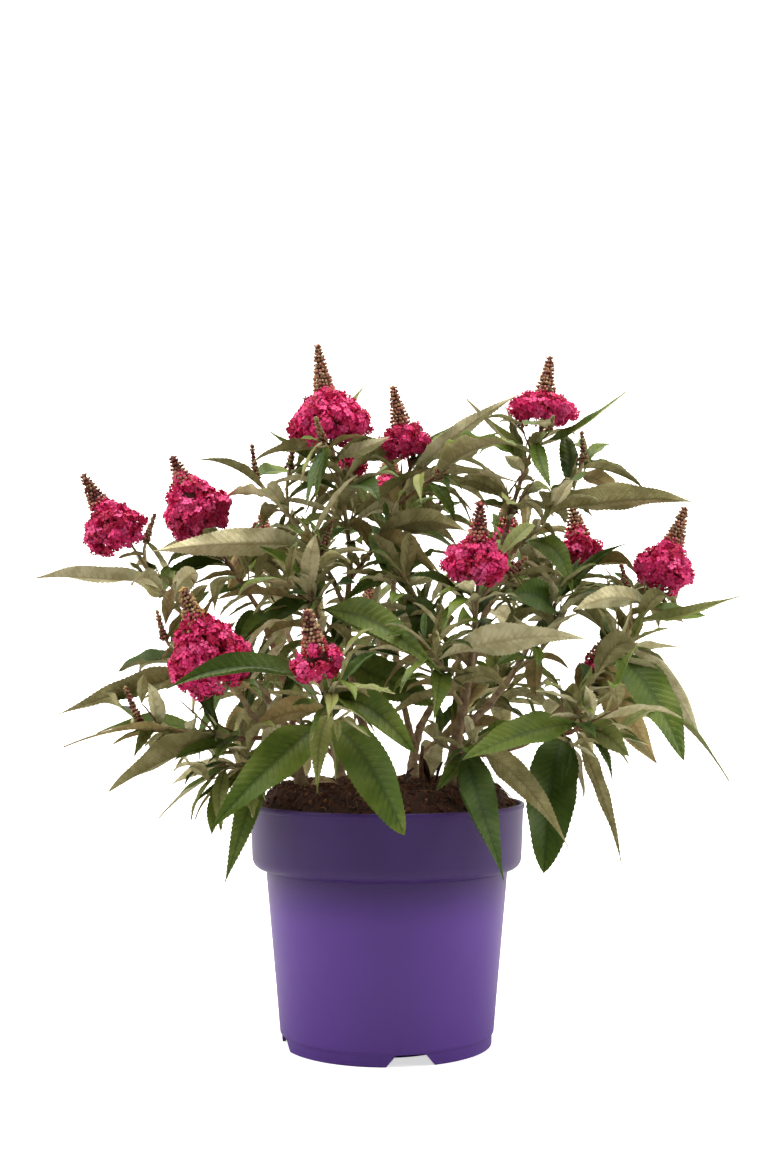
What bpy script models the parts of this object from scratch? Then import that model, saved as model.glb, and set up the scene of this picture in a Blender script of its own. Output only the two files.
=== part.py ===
"""Butterfly bush in a nursery pot: pot, compost, woody stems, boughs and leafy, flowering shoots.

Metres, +Z up. The origin is the middle of the pot's flat underside, and the front of the plant
faces -Y. Stems stand on the compost, boughs leave the stems, and each foliage mass is one shoot
with its side twigs, its pairs of leaves and its flower panicles joined in one solid.
"""
import math
import random

import bmesh
import bpy
from mathutils import Matrix, Vector
from mathutils.bvhtree import BVHTree

# Driving dimensions of the pot
POT_HEIGHT = 0.198
RIM_RADIUS = 0.115
BAND_HEIGHT = 0.0507
BODY_TOP_RADIUS = 0.1008
FOOT_RADIUS = 0.0867
WALL = 0.0022
FOOT_HEIGHT = 0.011
FOOT_STEP = 0.0018
HUB_RADIUS = 0.055
FLOOR_TOP = 0.0135
POT_SIDES = 36
NOTCH_COUNT = 4
NOTCH_TURN = math.radians(-77.5)
NOTCH_TOP_WIDTH = 0.0235
NOTCH_FOOT_WIDTH = 0.0430

# Compost, limbs and leaves
COMPOST_TOP = 0.214
PLATEAU_RADIUS = 0.088
GAP = 0.0003
STEM_SIDES = 8
STEM_RINGS = 4
BOUGH_SIDES = 6
BOUGH_RINGS = 5
TWIG_SIDES = 3
TWIG_RINGS = 5
SIDE_TWIG_RINGS = 3
FLARE = 1.45
TWIG_RADIUS = 0.0027
TWIG_TIP_RADIUS = 0.0021
SIDE_TWIG_TAPER = 0.8
SIDE_TWIG_RISE = 0.006
LAST_TWIG_ROOT = 0.97
LEAF_KEEL = 0.0019
LEAF_SPREAD = 0.28
LEAF_CLEARANCE = 0.0007
PETIOLE_HALF_WIDTH = 0.0005
PETIOLE_KEEL = 0.0007
LONG_LEAF = 0.085
ARCH = 0.16
ROOT_STAGGER = 0.0012
ROOT_DEPTH = 0.0004
TOUCH_MARGIN = 0.0002

# Leaf outlines: share of the midrib and of the width, from the root on
LONG_BLADE = ((0.34, 0.50), (0.70, 0.37))
SHORT_BLADE = ((0.45, 0.50),)
KNEE_SHARE = 0.45
BARE_SHARE = 0.16
OUTER_KNEE = 0.55

# Leaves by rule: how far tip and knee reach out, along the twig and up, as shares of the length
TIP_OUT, TIP_ALONG, LEAST_DROOP, MOST_DROOP = 0.86, 0.30, 0.10, 0.45
KNEE_OUT, KNEE_ALONG, KNEE_RISE = 0.50, 0.30, 0.08
FIRST_PAIR, PAIR_RUN = 0.12, 0.78
TWIG_TAPER, SIDE_LEAF_SIZE, SIDE_PAIRS = 0.40, 0.80, 2
SIZE_RANGE, TURN_RANGE, ROLL_RANGE = 0.15, 0.25, 25.0
SHRINKS = (1.0, 0.8, 0.62)

# Panicles: sides, then rings as share of the length and of the width
PANICLE_FORMS = {
    "panicle": (7, ((0.0, 0.20), (0.10, 0.44), (0.30, 0.50), (0.48, 0.36))),
    "cluster": (6, ((0.0, 0.24), (0.35, 0.50), (0.75, 0.36))),
    "bud": (5, ((0.0, 0.30), (0.35, 0.50), (0.80, 0.30))),
}
SPIKE_RADIUS, SPIKE_FOOT, SPIKE_NECK, SPIKE_NECK_WIDTH = 0.0085, 0.58, 0.92, 0.42
BLOOM_ROOT = 0.93
BLOOM_SINK = 0.002
BUD_SINK = 0.003

# Buds and clusters at twig ends: width, upward lean and share of the stated length
TWIG_ENDS = {"bud": (0.009, 0.5, 0.8), "cluster": (0.032, 1.0, 0.6)}

# The space that the leaves grown by rule keep to
CROWN_CENTRE = Vector((0.0, 0.0, 0.345))
CROWN_REACH = Vector((0.292, 0.262, 0.225))
LOWEST_LEAF = 0.135
UP = Vector((0.0, 0.0, 1.0))

# Stems and boughs: what each grows from, how far along it (or its place on the compost),
# its bend, its tip, and its radius at the foot and at the tip
LIMBS = {
    "stem_left": ("compost", (-0.070, -0.032), (-0.075, -0.037, 0.236), (-0.080, -0.042, 0.258),
                  0.0056, 0.0043),
    "stem_centre": ("compost", (0.004, 0.004), (-0.006, 0.005, 0.236), (-0.019, 0.006, 0.258),
                    0.0060, 0.0046),
    "stem_right": ("compost", (0.050, -0.028), (0.057, -0.037, 0.252), (0.064, -0.046, 0.290),
                   0.0066, 0.0046),
    "stem_back": ("compost", (0.022, 0.054), (0.022, 0.064, 0.234), (0.030, 0.076, 0.258),
                  0.0056, 0.0044),
    "stem_back_left": ("compost", (-0.040, 0.046), (-0.042, 0.050, 0.234), (-0.052, 0.062, 0.256),
                       0.0052, 0.0042),
    "stem_old": ("compost", (0.029, -0.004), (0.028, -0.005, 0.228), (0.030, -0.006, 0.245),
                 0.0022, 0.0017),
    "bough_left_outer": ("stem_left", 1.0, (-0.098, -0.026, 0.290), (-0.150, 0.000, 0.335),
                         0.0038, 0.0027),
    "bough_left_front": ("stem_left", 0.66, (-0.090, -0.062, 0.258), (-0.108, -0.078, 0.274),
                         0.0036, 0.0029),
    "bough_left_upper": ("stem_left", 0.60, (-0.078, 0.006, 0.290), (-0.112, 0.038, 0.362),
                         0.0036, 0.0026),
    "bough_front": ("stem_left", 0.42, (-0.058, -0.072, 0.244), (-0.046, -0.094, 0.266),
                    0.0034, 0.0028),
    "bough_tall_left": ("stem_centre", 1.0, (-0.040, 0.008, 0.315), (-0.031, 0.010, 0.405),
                        0.0042, 0.0029),
    "bough_centre_front": ("stem_right", 1.0, (0.068, -0.056, 0.315), (0.070, -0.066, 0.338),
                           0.0040, 0.0031),
    "bough_tall_right": ("stem_right", 0.84, (0.074, 0.010, 0.325), (0.102, 0.018, 0.425),
                         0.0040, 0.0028),
    "bough_right_back": ("stem_right", 0.62, (0.104, -0.016, 0.292), (0.130, 0.035, 0.345),
                         0.0037, 0.0028),
    "bough_right": ("stem_right", 0.36, (0.112, -0.064, 0.236), (0.152, -0.052, 0.284),
                    0.0043, 0.0034),
    "bough_back_right": ("stem_back", 1.0, (0.056, 0.094, 0.305), (0.085, 0.115, 0.345),
                         0.0038, 0.0029),
    "bough_back_centre": ("stem_back", 0.70, (0.004, 0.078, 0.315), (0.006, 0.086, 0.390),
                          0.0037, 0.0028),
    "bough_back_left": ("stem_back_left", 1.0, (-0.074, 0.080, 0.305), (-0.092, 0.108, 0.345),
                        0.0037, 0.0028),
}

# Foliage masses: the limb and how far along it, the leading twig's bend and end, then
# "bloom": the panicle's tip and width, "twigs": side twigs as share of the leader, end, length of
# the bud and what it is if not a bud, "shown": outline leaves as root, tip, width, roll and arch,
# and "pairs", "length": how many pairs of leaves grow by rule on the leader, and their length
MASSES = {
    "far_left": {
        "limb": ("bough_left_outer", 1.0), "bend": (-0.185, 0.002, 0.362), "end": (-0.209, 0.000, 0.404),
        "bloom": ((-0.256, -0.010, 0.473), 0.056), "pairs": 4, "length": 0.085,
        "twigs": [(0.90, (-0.205, 0.014, 0.420), 0.024)],
        "shown": [((-0.196, 0.000, 0.383), (-0.291, -0.030, 0.386), 0.022, 45, 0.04),
                  ((-0.183, 0.010, 0.364), (-0.228, 0.030, 0.392), 0.018, 40),
                  ((-0.181, 0.010, 0.364), (-0.157, -0.030, 0.390), 0.018, 40)],
    },
    "upper_left": {
        "limb": ("bough_left_upper", 1.0), "bend": (-0.132, 0.046, 0.392), "end": (-0.152, 0.050, 0.422),
        "bloom": ((-0.188, 0.040, 0.495), 0.062), "pairs": 4, "length": 0.105,
        "twigs": [(0.55, (-0.125, 0.090, 0.425), 0.024)],
        "shown": [((-0.140, 0.048, 0.408), (-0.205, 0.105, 0.418), 0.024, 0)],
    },
    "left_middle": {
        "limb": ("bough_left_outer", 0.56), "bend": (-0.135, -0.040, 0.296), "end": (-0.168, -0.050, 0.318),
        "pairs": 3, "length": 0.080, "twigs": [(1.0, (-0.182, -0.046, 0.336), 0.020)],
        "shown": [((-0.158, -0.050, 0.318), (-0.221, -0.030, 0.308), 0.022, -20),
                  ((-0.140, -0.044, 0.300), (-0.265, -0.064, 0.271), 0.024, 35)],
    },
    "left_front": {
        "limb": ("bough_left_front", 1.0), "bend": (-0.114, -0.086, 0.288), "end": (-0.123, -0.100, 0.299),
        "bloom": ((-0.157, -0.120, 0.372), 0.066), "pairs": 2, "length": 0.070, "twigs": [], "shown": [],
    },
    "low_left": {
        "limb": ("bough_left_front", 0.45), "bend": (-0.128, -0.072, 0.250), "end": (-0.185, -0.088, 0.264),
        "pairs": 3, "length": 0.070, "twigs": [(1.0, (-0.196, -0.088, 0.270), 0.026)],
        "shown": [((-0.145, -0.080, 0.260), (-0.237, -0.045, 0.258), 0.022, -20),
                  ((-0.160, -0.080, 0.253), (-0.247, -0.128, 0.250), 0.018, 30),
                  ((-0.120, -0.080, 0.262), (-0.211, -0.130, 0.216), 0.030, 40),
                  ((-0.179, -0.090, 0.266), (-0.186, -0.100, 0.300), 0.017, 0)],
    },
    "low_left_foot": {
        "limb": ("stem_left", 0.24), "bend": (-0.100, -0.050, 0.234), "end": (-0.122, -0.062, 0.232),
        "pairs": 2, "length": 0.060, "twigs": [],
        "shown": [((-0.122, -0.060, 0.230), (-0.179, -0.020, 0.214), 0.018, 30),
                  ((-0.122, -0.060, 0.232), (-0.184, -0.065, 0.190), 0.016, 30),
                  ((-0.090, -0.070, 0.234), (-0.122, -0.134, 0.148), 0.020, 0)],
    },
    "front_left": {
        "limb": ("bough_front", 1.0), "bend": (-0.040, -0.116, 0.278), "end": (-0.051, -0.137, 0.299),
        "bloom": ((-0.060, -0.150, 0.354), 0.044), "pairs": 2, "length": 0.070, "twigs": [],
        "shown": [((-0.058, -0.100, 0.275), (-0.131, -0.155, 0.191), 0.035, -10),
                  ((-0.036, -0.100, 0.262), (0.013, -0.155, 0.187), 0.036, 0),
                  ((-0.045, -0.125, 0.290), (0.019, -0.172, 0.249), 0.026, -10),
                  ((-0.047, -0.118, 0.282), (-0.163, -0.165, 0.290), 0.024, -30, 0.03),
                  ((-0.043, -0.110, 0.276), (-0.104, -0.092, 0.262), 0.022, 30)],
    },
    "centre_left": {
        "limb": ("bough_tall_left", 0.42), "bend": (-0.056, -0.024, 0.330), "end": (-0.062, -0.048, 0.378),
        "pairs": 3, "length": 0.080, "twigs": [(1.0, (-0.052, -0.040, 0.408), 0.024)],
        "shown": [((-0.059, -0.045, 0.360), (-0.118, -0.060, 0.330), 0.026, -10),
                  ((-0.059, -0.050, 0.350), (0.043, -0.115, 0.304), 0.032, 20)],
    },
    "inner_left": {
        "limb": ("bough_tall_left", 0.74), "bend": (-0.052, -0.010, 0.410), "end": (-0.105, 0.006, 0.462),
        "pairs": 4, "length": 0.085,
        "twigs": [(1.0, (-0.112, 0.010, 0.474), 0.024), (0.78, (-0.082, 0.000, 0.482), 0.020)],
        "shown": [((-0.054, -0.010, 0.414), (-0.180, -0.050, 0.423), 0.028, 40),
                  ((-0.105, 0.010, 0.460), (-0.158, -0.005, 0.487), 0.012, 20),
                  ((-0.094, 0.010, 0.456), (-0.142, 0.050, 0.460), 0.016, 20)],
    },
    "top_left": {
        "limb": ("bough_tall_left", 1.0), "bend": (-0.036, 0.006, 0.455), "end": (-0.048, 0.000, 0.503),
        "bloom": ((-0.059, 0.000, 0.585), 0.070), "pairs": 4, "length": 0.090,
        "twigs": [(0.70, (-0.033, 0.050, 0.482), 0.030, "cluster"),
                  (0.80, (-0.053, -0.044, 0.496), 0.036)],
        "shown": [((-0.046, 0.000, 0.480), (-0.101, 0.020, 0.515), 0.014, 0, -0.25),
                  ((-0.044, 0.000, 0.484), (0.003, -0.035, 0.501), 0.014, 0, -0.10),
                  ((-0.050, 0.000, 0.490), (-0.113, -0.030, 0.482), 0.018, 30)],
    },
    "top_centre": {
        "limb": ("bough_tall_left", 0.90), "bend": (0.006, 0.016, 0.430), "end": (0.023, 0.030, 0.490),
        "bloom": ((0.005, 0.020, 0.553), 0.048), "pairs": 3, "length": 0.085,
        "twigs": [(0.62, (0.046, -0.012, 0.474), 0.036)],
        "shown": [((0.024, 0.018, 0.472), (0.112, -0.016, 0.540), 0.016, 40, 0.05),
                  ((0.024, 0.020, 0.465), (0.109, -0.025, 0.464), 0.016, 30),
                  ((-0.010, 0.010, 0.426), (0.067, -0.055, 0.420), 0.024, 30),
                  ((-0.010, 0.010, 0.424), (0.043, -0.055, 0.386), 0.024, 30)],
    },
    "centre": {
        "limb": ("bough_tall_right", 0.30), "bend": (0.050, -0.010, 0.330), "end": (0.022, -0.016, 0.372),
        "pairs": 3, "length": 0.095, "twigs": [(1.0, (0.014, -0.012, 0.388), 0.018)],
        "shown": [((0.019, -0.020, 0.370), (0.034, -0.048, 0.312), 0.028, 0)],
    },
    "centre_low": {
        "limb": ("stem_right", 0.90), "bend": (0.044, -0.066, 0.298), "end": (0.034, -0.082, 0.336),
        "pairs": 3, "length": 0.072, "twigs": [],
        "shown": [((0.040, -0.078, 0.316), (0.156, -0.128, 0.333), 0.028, 40)],
    },
    "top_right": {
        "limb": ("bough_tall_right", 1.0), "bend": (0.112, 0.018, 0.470), "end": (0.135, 0.020, 0.519),
        "bloom": ((0.141, 0.020, 0.579), 0.052), "pairs": 4, "length": 0.080,
        "twigs": [(0.85, (0.136, -0.020, 0.510), 0.024)],
        "shown": [((0.130, 0.020, 0.500), (0.202, -0.010, 0.545), 0.013, 20, -0.16),
                  ((0.126, 0.020, 0.494), (0.067, 0.000, 0.540), 0.014, 20, -0.16),
                  ((0.130, 0.020, 0.505), (0.136, -0.030, 0.457), 0.014, 0)],
    },
    "right_upper": {
        "limb": ("bough_tall_right", 0.88), "bend": (0.128, 0.004, 0.426), "end": (0.163, 0.006, 0.472),
        "pairs": 3, "length": 0.080, "twigs": [(1.0, (0.168, 0.010, 0.488), 0.022)],
        "shown": [((0.135, 0.010, 0.445), (0.258, -0.015, 0.450), 0.030, 45),
                  ((0.161, 0.010, 0.474), (0.195, 0.035, 0.506), 0.014, 0),
                  ((0.152, 0.010, 0.466), (0.154, 0.040, 0.516), 0.016, 0)],
    },
    "centre_front": {
        "limb": ("bough_centre_front", 1.0), "bend": (0.070, -0.074, 0.352), "end": (0.072, -0.080, 0.376),
        "bloom": ((0.074, -0.090, 0.441), 0.054), "pairs": 2, "length": 0.070,
        "twigs": [(0.70, (0.100, -0.066, 0.386), 0.020)],
        "shown": [((0.072, -0.078, 0.364), (0.045, -0.135, 0.348), 0.020, 0)],
    },
    "right_back": {
        "limb": ("bough_right_back", 1.0), "bend": (0.158, 0.062, 0.375), "end": (0.178, 0.080, 0.408),
        "bloom": ((0.166, 0.080, 0.457), 0.040), "pairs": 4, "length": 0.085,
        "twigs": [(0.45, (0.124, 0.074, 0.392), 0.020)],
        "shown": [((0.140, 0.050, 0.365), (0.202, 0.000, 0.416), 0.016, 30)],
    },
    "right_middle": {
        "limb": ("bough_right_back", 0.62), "bend": (0.128, -0.026, 0.318), "end": (0.148, -0.030, 0.358),
        "pairs": 3, "length": 0.080, "twigs": [(0.85, (0.106, -0.030, 0.376), 0.022)],
        "shown": [((0.150, -0.030, 0.350), (0.098, -0.085, 0.366), 0.028, -20)],
    },
    "far_right": {
        "limb": ("bough_right", 1.0), "bend": (0.182, -0.036, 0.316), "end": (0.231, 0.000, 0.374),
        "bloom": ((0.253, 0.000, 0.446), 0.054), "pairs": 3, "length": 0.085,
        "twigs": [(0.70, (0.206, 0.028, 0.380), 0.024)],
        "shown": [((0.194, -0.030, 0.320), (0.234, -0.090, 0.239), 0.036, -20),
                  ((0.180, -0.035, 0.300), (0.281, -0.050, 0.221), 0.016, -20),
                  ((0.185, -0.035, 0.305), (0.249, 0.010, 0.328), 0.016, 20),
                  ((0.218, -0.005, 0.362), (0.150, -0.062, 0.356), 0.020, 40),
                  ((0.208, -0.010, 0.346), (0.293, -0.022, 0.371), 0.016, 40, -0.04),
                  ((0.218, -0.004, 0.354), (0.282, 0.054, 0.356), 0.018, 0, 0.04)],
    },
    "low_right": {
        "limb": ("bough_right", 0.78), "bend": (0.140, -0.074, 0.250), "end": (0.156, -0.088, 0.268),
        "pairs": 1, "length": 0.070, "twigs": [],
        "shown": [((0.141, -0.070, 0.257), (0.120, -0.118, 0.155), 0.040, 0),
                  ((0.152, -0.080, 0.258), (0.190, -0.060, 0.153), 0.016, 20),
                  ((0.156, -0.088, 0.272), (0.056, -0.135, 0.240), 0.032, -20),
                  ((0.150, -0.085, 0.262), (0.184, -0.120, 0.243), 0.022, -20)],
    },
    "low_front_right": {
        "limb": ("stem_right", 0.30), "bend": (0.062, -0.060, 0.240), "end": (0.068, -0.076, 0.250),
        "pairs": 1, "length": 0.060, "twigs": [],
        "shown": [((0.060, -0.068, 0.244), (0.087, -0.152, 0.154), 0.030, 0),
                  ((0.072, -0.070, 0.245), (0.139, -0.138, 0.174), 0.022, 30)],
    },
    "right_side": {
        "limb": ("bough_right", 0.55), "bend": (0.134, -0.012, 0.268), "end": (0.180, 0.050, 0.300),
        "bloom": ((0.200, 0.062, 0.352), 0.044), "pairs": 4, "length": 0.095,
        "twigs": [(0.50, (0.180, 0.000, 0.292), 0.020)], "shown": [],
    },
    "left_side": {
        "limb": ("bough_left_outer", 0.32), "bend": (-0.104, 0.034, 0.298), "end": (-0.160, 0.078, 0.318),
        "bloom": ((-0.182, 0.088, 0.370), 0.044), "pairs": 4, "length": 0.095,
        "twigs": [(0.50, (-0.160, 0.034, 0.306), 0.020)], "shown": [],
    },
    "back_left": {
        "limb": ("bough_back_left", 1.0), "bend": (-0.104, 0.130, 0.380), "end": (-0.110, 0.146, 0.408),
        "bloom": ((-0.122, 0.160, 0.476), 0.058), "pairs": 4, "length": 0.105,
        "twigs": [(0.50, (-0.070, 0.150, 0.410), 0.022)], "shown": [],
    },
    "back_centre": {
        "limb": ("bough_back_centre", 1.0), "bend": (0.008, 0.092, 0.432), "end": (0.004, 0.104, 0.462),
        "bloom": ((0.000, 0.112, 0.535), 0.054), "pairs": 4, "length": 0.105,
        "twigs": [(0.50, (0.040, 0.108, 0.452), 0.022)], "shown": [],
    },
    "back_right": {
        "limb": ("bough_back_right", 1.0), "bend": (0.104, 0.130, 0.385), "end": (0.112, 0.146, 0.420),
        "bloom": ((0.116, 0.158, 0.494), 0.058), "pairs": 4, "length": 0.105,
        "twigs": [(0.50, (0.076, 0.150, 0.410), 0.022)], "shown": [],
    },
    "back_middle": {
        "limb": ("bough_back_centre", 0.30), "bend": (-0.004, 0.118, 0.320), "end": (-0.016, 0.158, 0.352),
        "bloom": ((-0.018, 0.176, 0.404), 0.044), "pairs": 4, "length": 0.095,
        "twigs": [(0.60, (0.026, 0.150, 0.344), 0.020)], "shown": [],
    },
    "back_low_right": {
        "limb": ("stem_back", 0.45), "bend": (0.054, 0.096, 0.256), "end": (0.094, 0.126, 0.272),
        "pairs": 3, "length": 0.100, "twigs": [(1.0, (0.104, 0.134, 0.286), 0.022)], "shown": [],
    },
    "back_low_left": {
        "limb": ("stem_back_left", 0.50), "bend": (-0.072, 0.092, 0.262), "end": (-0.104, 0.118, 0.276),
        "pairs": 3, "length": 0.100, "twigs": [(1.0, (-0.114, 0.126, 0.290), 0.022)], "shown": [],
    },
}

# Plain colours of the finishes: base colour, roughness
FINISHES = {
    "pot_plastic": ((0.105, 0.050, 0.235, 1.0), 0.45),
    "compost": ((0.055, 0.018, 0.009, 1.0), 0.95),
    "bark": ((0.210, 0.130, 0.075, 1.0), 0.80),
    "foliage": ((0.075, 0.140, 0.045, 1.0), 0.65),
}


def clear_scene():
    for old in list(bpy.data.objects):
        bpy.data.objects.remove(old, do_unlink=True)


def finish(name):
    material = bpy.data.materials.get(name)
    if material is None:
        colour, roughness = FINISHES[name]
        material = bpy.data.materials.new(name)
        material.use_nodes = True
        shader = material.node_tree.nodes["Principled BSDF"]
        shader.inputs["Base Color"].default_value = colour
        shader.inputs["Roughness"].default_value = roughness
    return material


def add_object(name, points, faces, material):
    """One closed mesh object with its faces pointing out."""
    mesh = bpy.data.meshes.new(name)
    mesh.from_pydata([tuple(p) for p in points], [], faces)
    form = bmesh.new()
    form.from_mesh(mesh)
    bmesh.ops.recalc_face_normals(form, faces=form.faces[:])
    form.to_mesh(mesh)
    form.free()
    mesh.materials.append(finish(material))
    piece = bpy.data.objects.new(name, mesh)
    bpy.context.scene.collection.objects.link(piece)
    return piece


def turned(name, profile, sides, material):
    """A solid turned about the Z axis; the profile runs from axis to axis, as radius and height."""
    points, faces = [], []
    starts = []
    for radius, height in profile:
        starts.append(len(points))
        if radius == 0.0:
            points.append((0.0, 0.0, height))
            continue
        for k in range(sides):
            turn = 2.0 * math.pi * k / sides
            points.append((radius * math.cos(turn), radius * math.sin(turn), height))
    for i in range(len(profile) - 1):
        a, b = starts[i], starts[i + 1]
        for k in range(sides):
            n = (k + 1) % sides
            if profile[i][0] == 0.0:
                faces.append((a, b + n, b + k))
            elif profile[i + 1][0] == 0.0:
                faces.append((a + k, a + n, b))
            else:
                faces.append((a + k, a + n, b + n, b + k))
    return add_object(name, points, faces, material)


def along(start, bend, end, t):
    """Point on the smooth bend from start to end."""
    return (1 - t) ** 2 * start + 2 * t * (1 - t) * bend + t * t * end


def heading(start, bend, end, t):
    way = (1 - t) * (bend - start) + t * (end - bend)
    return way.normalized()


class Limb:
    """A tapering round limb along one smooth bend, its foot cut along a plane."""

    def __init__(self, start, bend, end, foot_radius, tip_radius, cut, rings):
        self.start, self.bend, self.end = start, bend, end
        self.foot_radius, self.tip_radius = foot_radius, tip_radius
        self.cut, self.rings = cut, rings
        self.points, self.faces = [], []

    def point(self, t):
        """Point on the straight run between two rings, so that it stays inside the limb."""
        runs = self.rings - 1
        i = min(int(t * runs), runs - 1)
        near = along(self.start, self.bend, self.end, i / runs)
        far = along(self.start, self.bend, self.end, (i + 1) / runs)
        return near.lerp(far, t * runs - i)

    def heading(self, t):
        return heading(self.start, self.bend, self.end, t)

    def radius(self, t):
        return self.foot_radius + (self.tip_radius - self.foot_radius) * t


def tube(limb, sides, flare=1.0):
    """Points and faces of a limb with flat ends."""
    rings = limb.rings
    way = limb.heading(0.0)
    side = way.orthogonal().normalized()
    points, faces = [], []
    for i in range(rings):
        t = i / (rings - 1)
        new_way = limb.heading(t)
        side = (side - new_way * side.dot(new_way)).normalized()
        over = new_way.cross(side)
        radius = limb.radius(t) * (flare if i == 0 else 1.0)
        for k in range(sides):
            angle = 2.0 * math.pi * k / sides
            spot = limb.point(t) + radius * (math.cos(angle) * side + math.sin(angle) * over)
            if i == 0 and limb.cut is not None:
                slant = (limb.start - spot).dot(limb.cut) / new_way.dot(limb.cut)
                spot = spot + new_way * slant
            points.append(spot)
    for i in range(rings - 1):
        for k in range(sides):
            n = (k + 1) % sides
            a, b = i * sides, (i + 1) * sides
            faces.append((a + k, a + n, b + n, b + k))
    faces.append(tuple(range(sides - 1, -1, -1)))
    faces.append(tuple(range((rings - 1) * sides, rings * sides)))
    return points, faces


def seat_on(parent, t, bend):
    """Foot point and cut plane of a limb that leaves its parent's tip or a facet of its side."""
    axis_point, way = parent.point(t), parent.heading(t)
    if t >= 1.0:
        return axis_point + way * GAP, way
    out = bend - axis_point
    out = (out - way * out.dot(way)).normalized()
    skin = BVHTree.FromPolygons([tuple(p) for p in parent.points], parent.faces)
    spot, facet, _, _ = skin.ray_cast(axis_point, out)
    if facet.dot(out) < 0.0:
        facet = -facet
    return spot + facet * GAP, facet


def grow_limbs():
    """Every limb's form, stems first, so that a bough finds its parent's side."""
    limbs = {}
    for name, (parent, place, bend, tip, *radii) in LIMBS.items():
        bend, tip = Vector(bend), Vector(tip)
        if parent == "compost":
            start, cut = Vector((*place, COMPOST_TOP + GAP)), UP
            sides, rings, flare = STEM_SIDES, STEM_RINGS, FLARE
        else:
            start, cut = seat_on(limbs[parent], place, bend)
            sides, rings, flare = BOUGH_SIDES, BOUGH_RINGS, 1.0
        limb = Limb(start, bend, tip, *radii, cut, rings)
        limb.points, limb.faces = tube(limb, sides, flare)
        limbs[name] = limb
    return limbs


def leaf_form(root, knee, tip, width, roll, grow=0.0):
    """A folded blade on an arching midrib: flat above, with a keel below."""
    length = (knee - root).length + (tip - knee).length
    flat = Vector((tip.x - root.x, tip.y - root.y, 0.0))
    if flat.length < 0.15 * length:
        flat = Vector((root.x, root.y, 0.0)) + flat
    across = flat.cross(UP).normalized()
    outline = LONG_BLADE if length >= LONG_LEAF else SHORT_BLADE
    stations = [(0.0, PETIOLE_HALF_WIDTH)] + [(t, width * share + grow) for t, share in outline]
    points, faces = [], []
    for t, half in stations:
        way = heading(root, knee, tip, t)
        level = (across - way * across.dot(way)).normalized()
        edge = Matrix.Rotation(math.radians(roll) * min(1.0, t * 3.0), 3, way) @ level
        below = way.cross(edge).normalized()
        spot = along(root, knee, tip, t)
        keel = (PETIOLE_KEEL if t == 0.0 else LEAF_KEEL) + grow
        points += [spot - edge * half - below * grow, spot + edge * half - below * grow, spot + below * keel]
    count = len(stations)
    faces.append((0, 1, 2))
    for i in range(count - 1):
        for k in range(3):
            n = (k + 1) % 3
            a, b = i * 3, i * 3 + 3
            faces.append((a + k, b + k, b + n, a + n))
    end = len(points)
    points.append(tip + (tip - knee).normalized() * grow)
    last = (count - 1) * 3
    for k in range(3):
        faces.append((last + k, end, last + (k + 1) % 3))
    return points, faces


def panicle_form(base, tip, width, kind):
    """A cone of open florets under a slim spike of buds, a cluster of florets, or a bud."""
    way = tip - base
    length = way.length
    way = way.normalized()
    side = way.orthogonal().normalized()
    over = way.cross(side)
    sides, shape = PANICLE_FORMS[kind]
    if kind == "panicle":
        slim = min(0.5, SPIKE_RADIUS / width)
        shape = shape + ((SPIKE_FOOT, slim), (SPIKE_NECK, slim * SPIKE_NECK_WIDTH))
    points, faces = [base - way * BLOOM_SINK], []
    for t, share in shape:
        for k in range(sides):
            angle = 2.0 * math.pi * k / sides
            out = math.cos(angle) * side + math.sin(angle) * over
            points.append(base + way * (t * length) + out * (width * share))
    end = len(points)
    points.append(tip)
    rings = len(shape)
    for k in range(sides):
        n = (k + 1) % sides
        faces.append((0, 1 + n, 1 + k))
        for i in range(rings - 1):
            a, b = 1 + i * sides, 1 + (i + 1) * sides
            faces.append((a + k, a + n, b + n, b + k))
        a = 1 + (rings - 1) * sides
        faces.append((a + k, a + n, end))
    return points, faces


class Space:
    """What is taken already: every solid placed so far, with its corner box and its owner."""

    def __init__(self):
        self.taken = []

    def add(self, owner, points, faces):
        low = Vector([min(p[i] for p in points) for i in range(3)])
        high = Vector([max(p[i] for p in points) for i in range(3)])
        tree = BVHTree.FromPolygons([tuple(p) for p in points], faces)
        self.taken.append((owner, low, high, tree))

    def is_free(self, points, faces, skip_owner=None):
        low = Vector([min(p[i] for p in points) for i in range(3)])
        high = Vector([max(p[i] for p in points) for i in range(3)])
        tree = None
        for owner, other_low, other_high, other in self.taken:
            if owner == skip_owner:
                continue
            if any(low[i] > other_high[i] or high[i] < other_low[i] for i in range(3)):
                continue
            if tree is None:
                tree = BVHTree.FromPolygons([tuple(p) for p in points], faces)
            if tree.overlap(other):
                return False
        return True


def in_crown(spot):
    spread = spot - CROWN_CENTRE
    reach = sum((spread[i] / CROWN_REACH[i]) ** 2 for i in range(3))
    return reach <= 1.0 and spot.z >= LOWEST_LEAF


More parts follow.
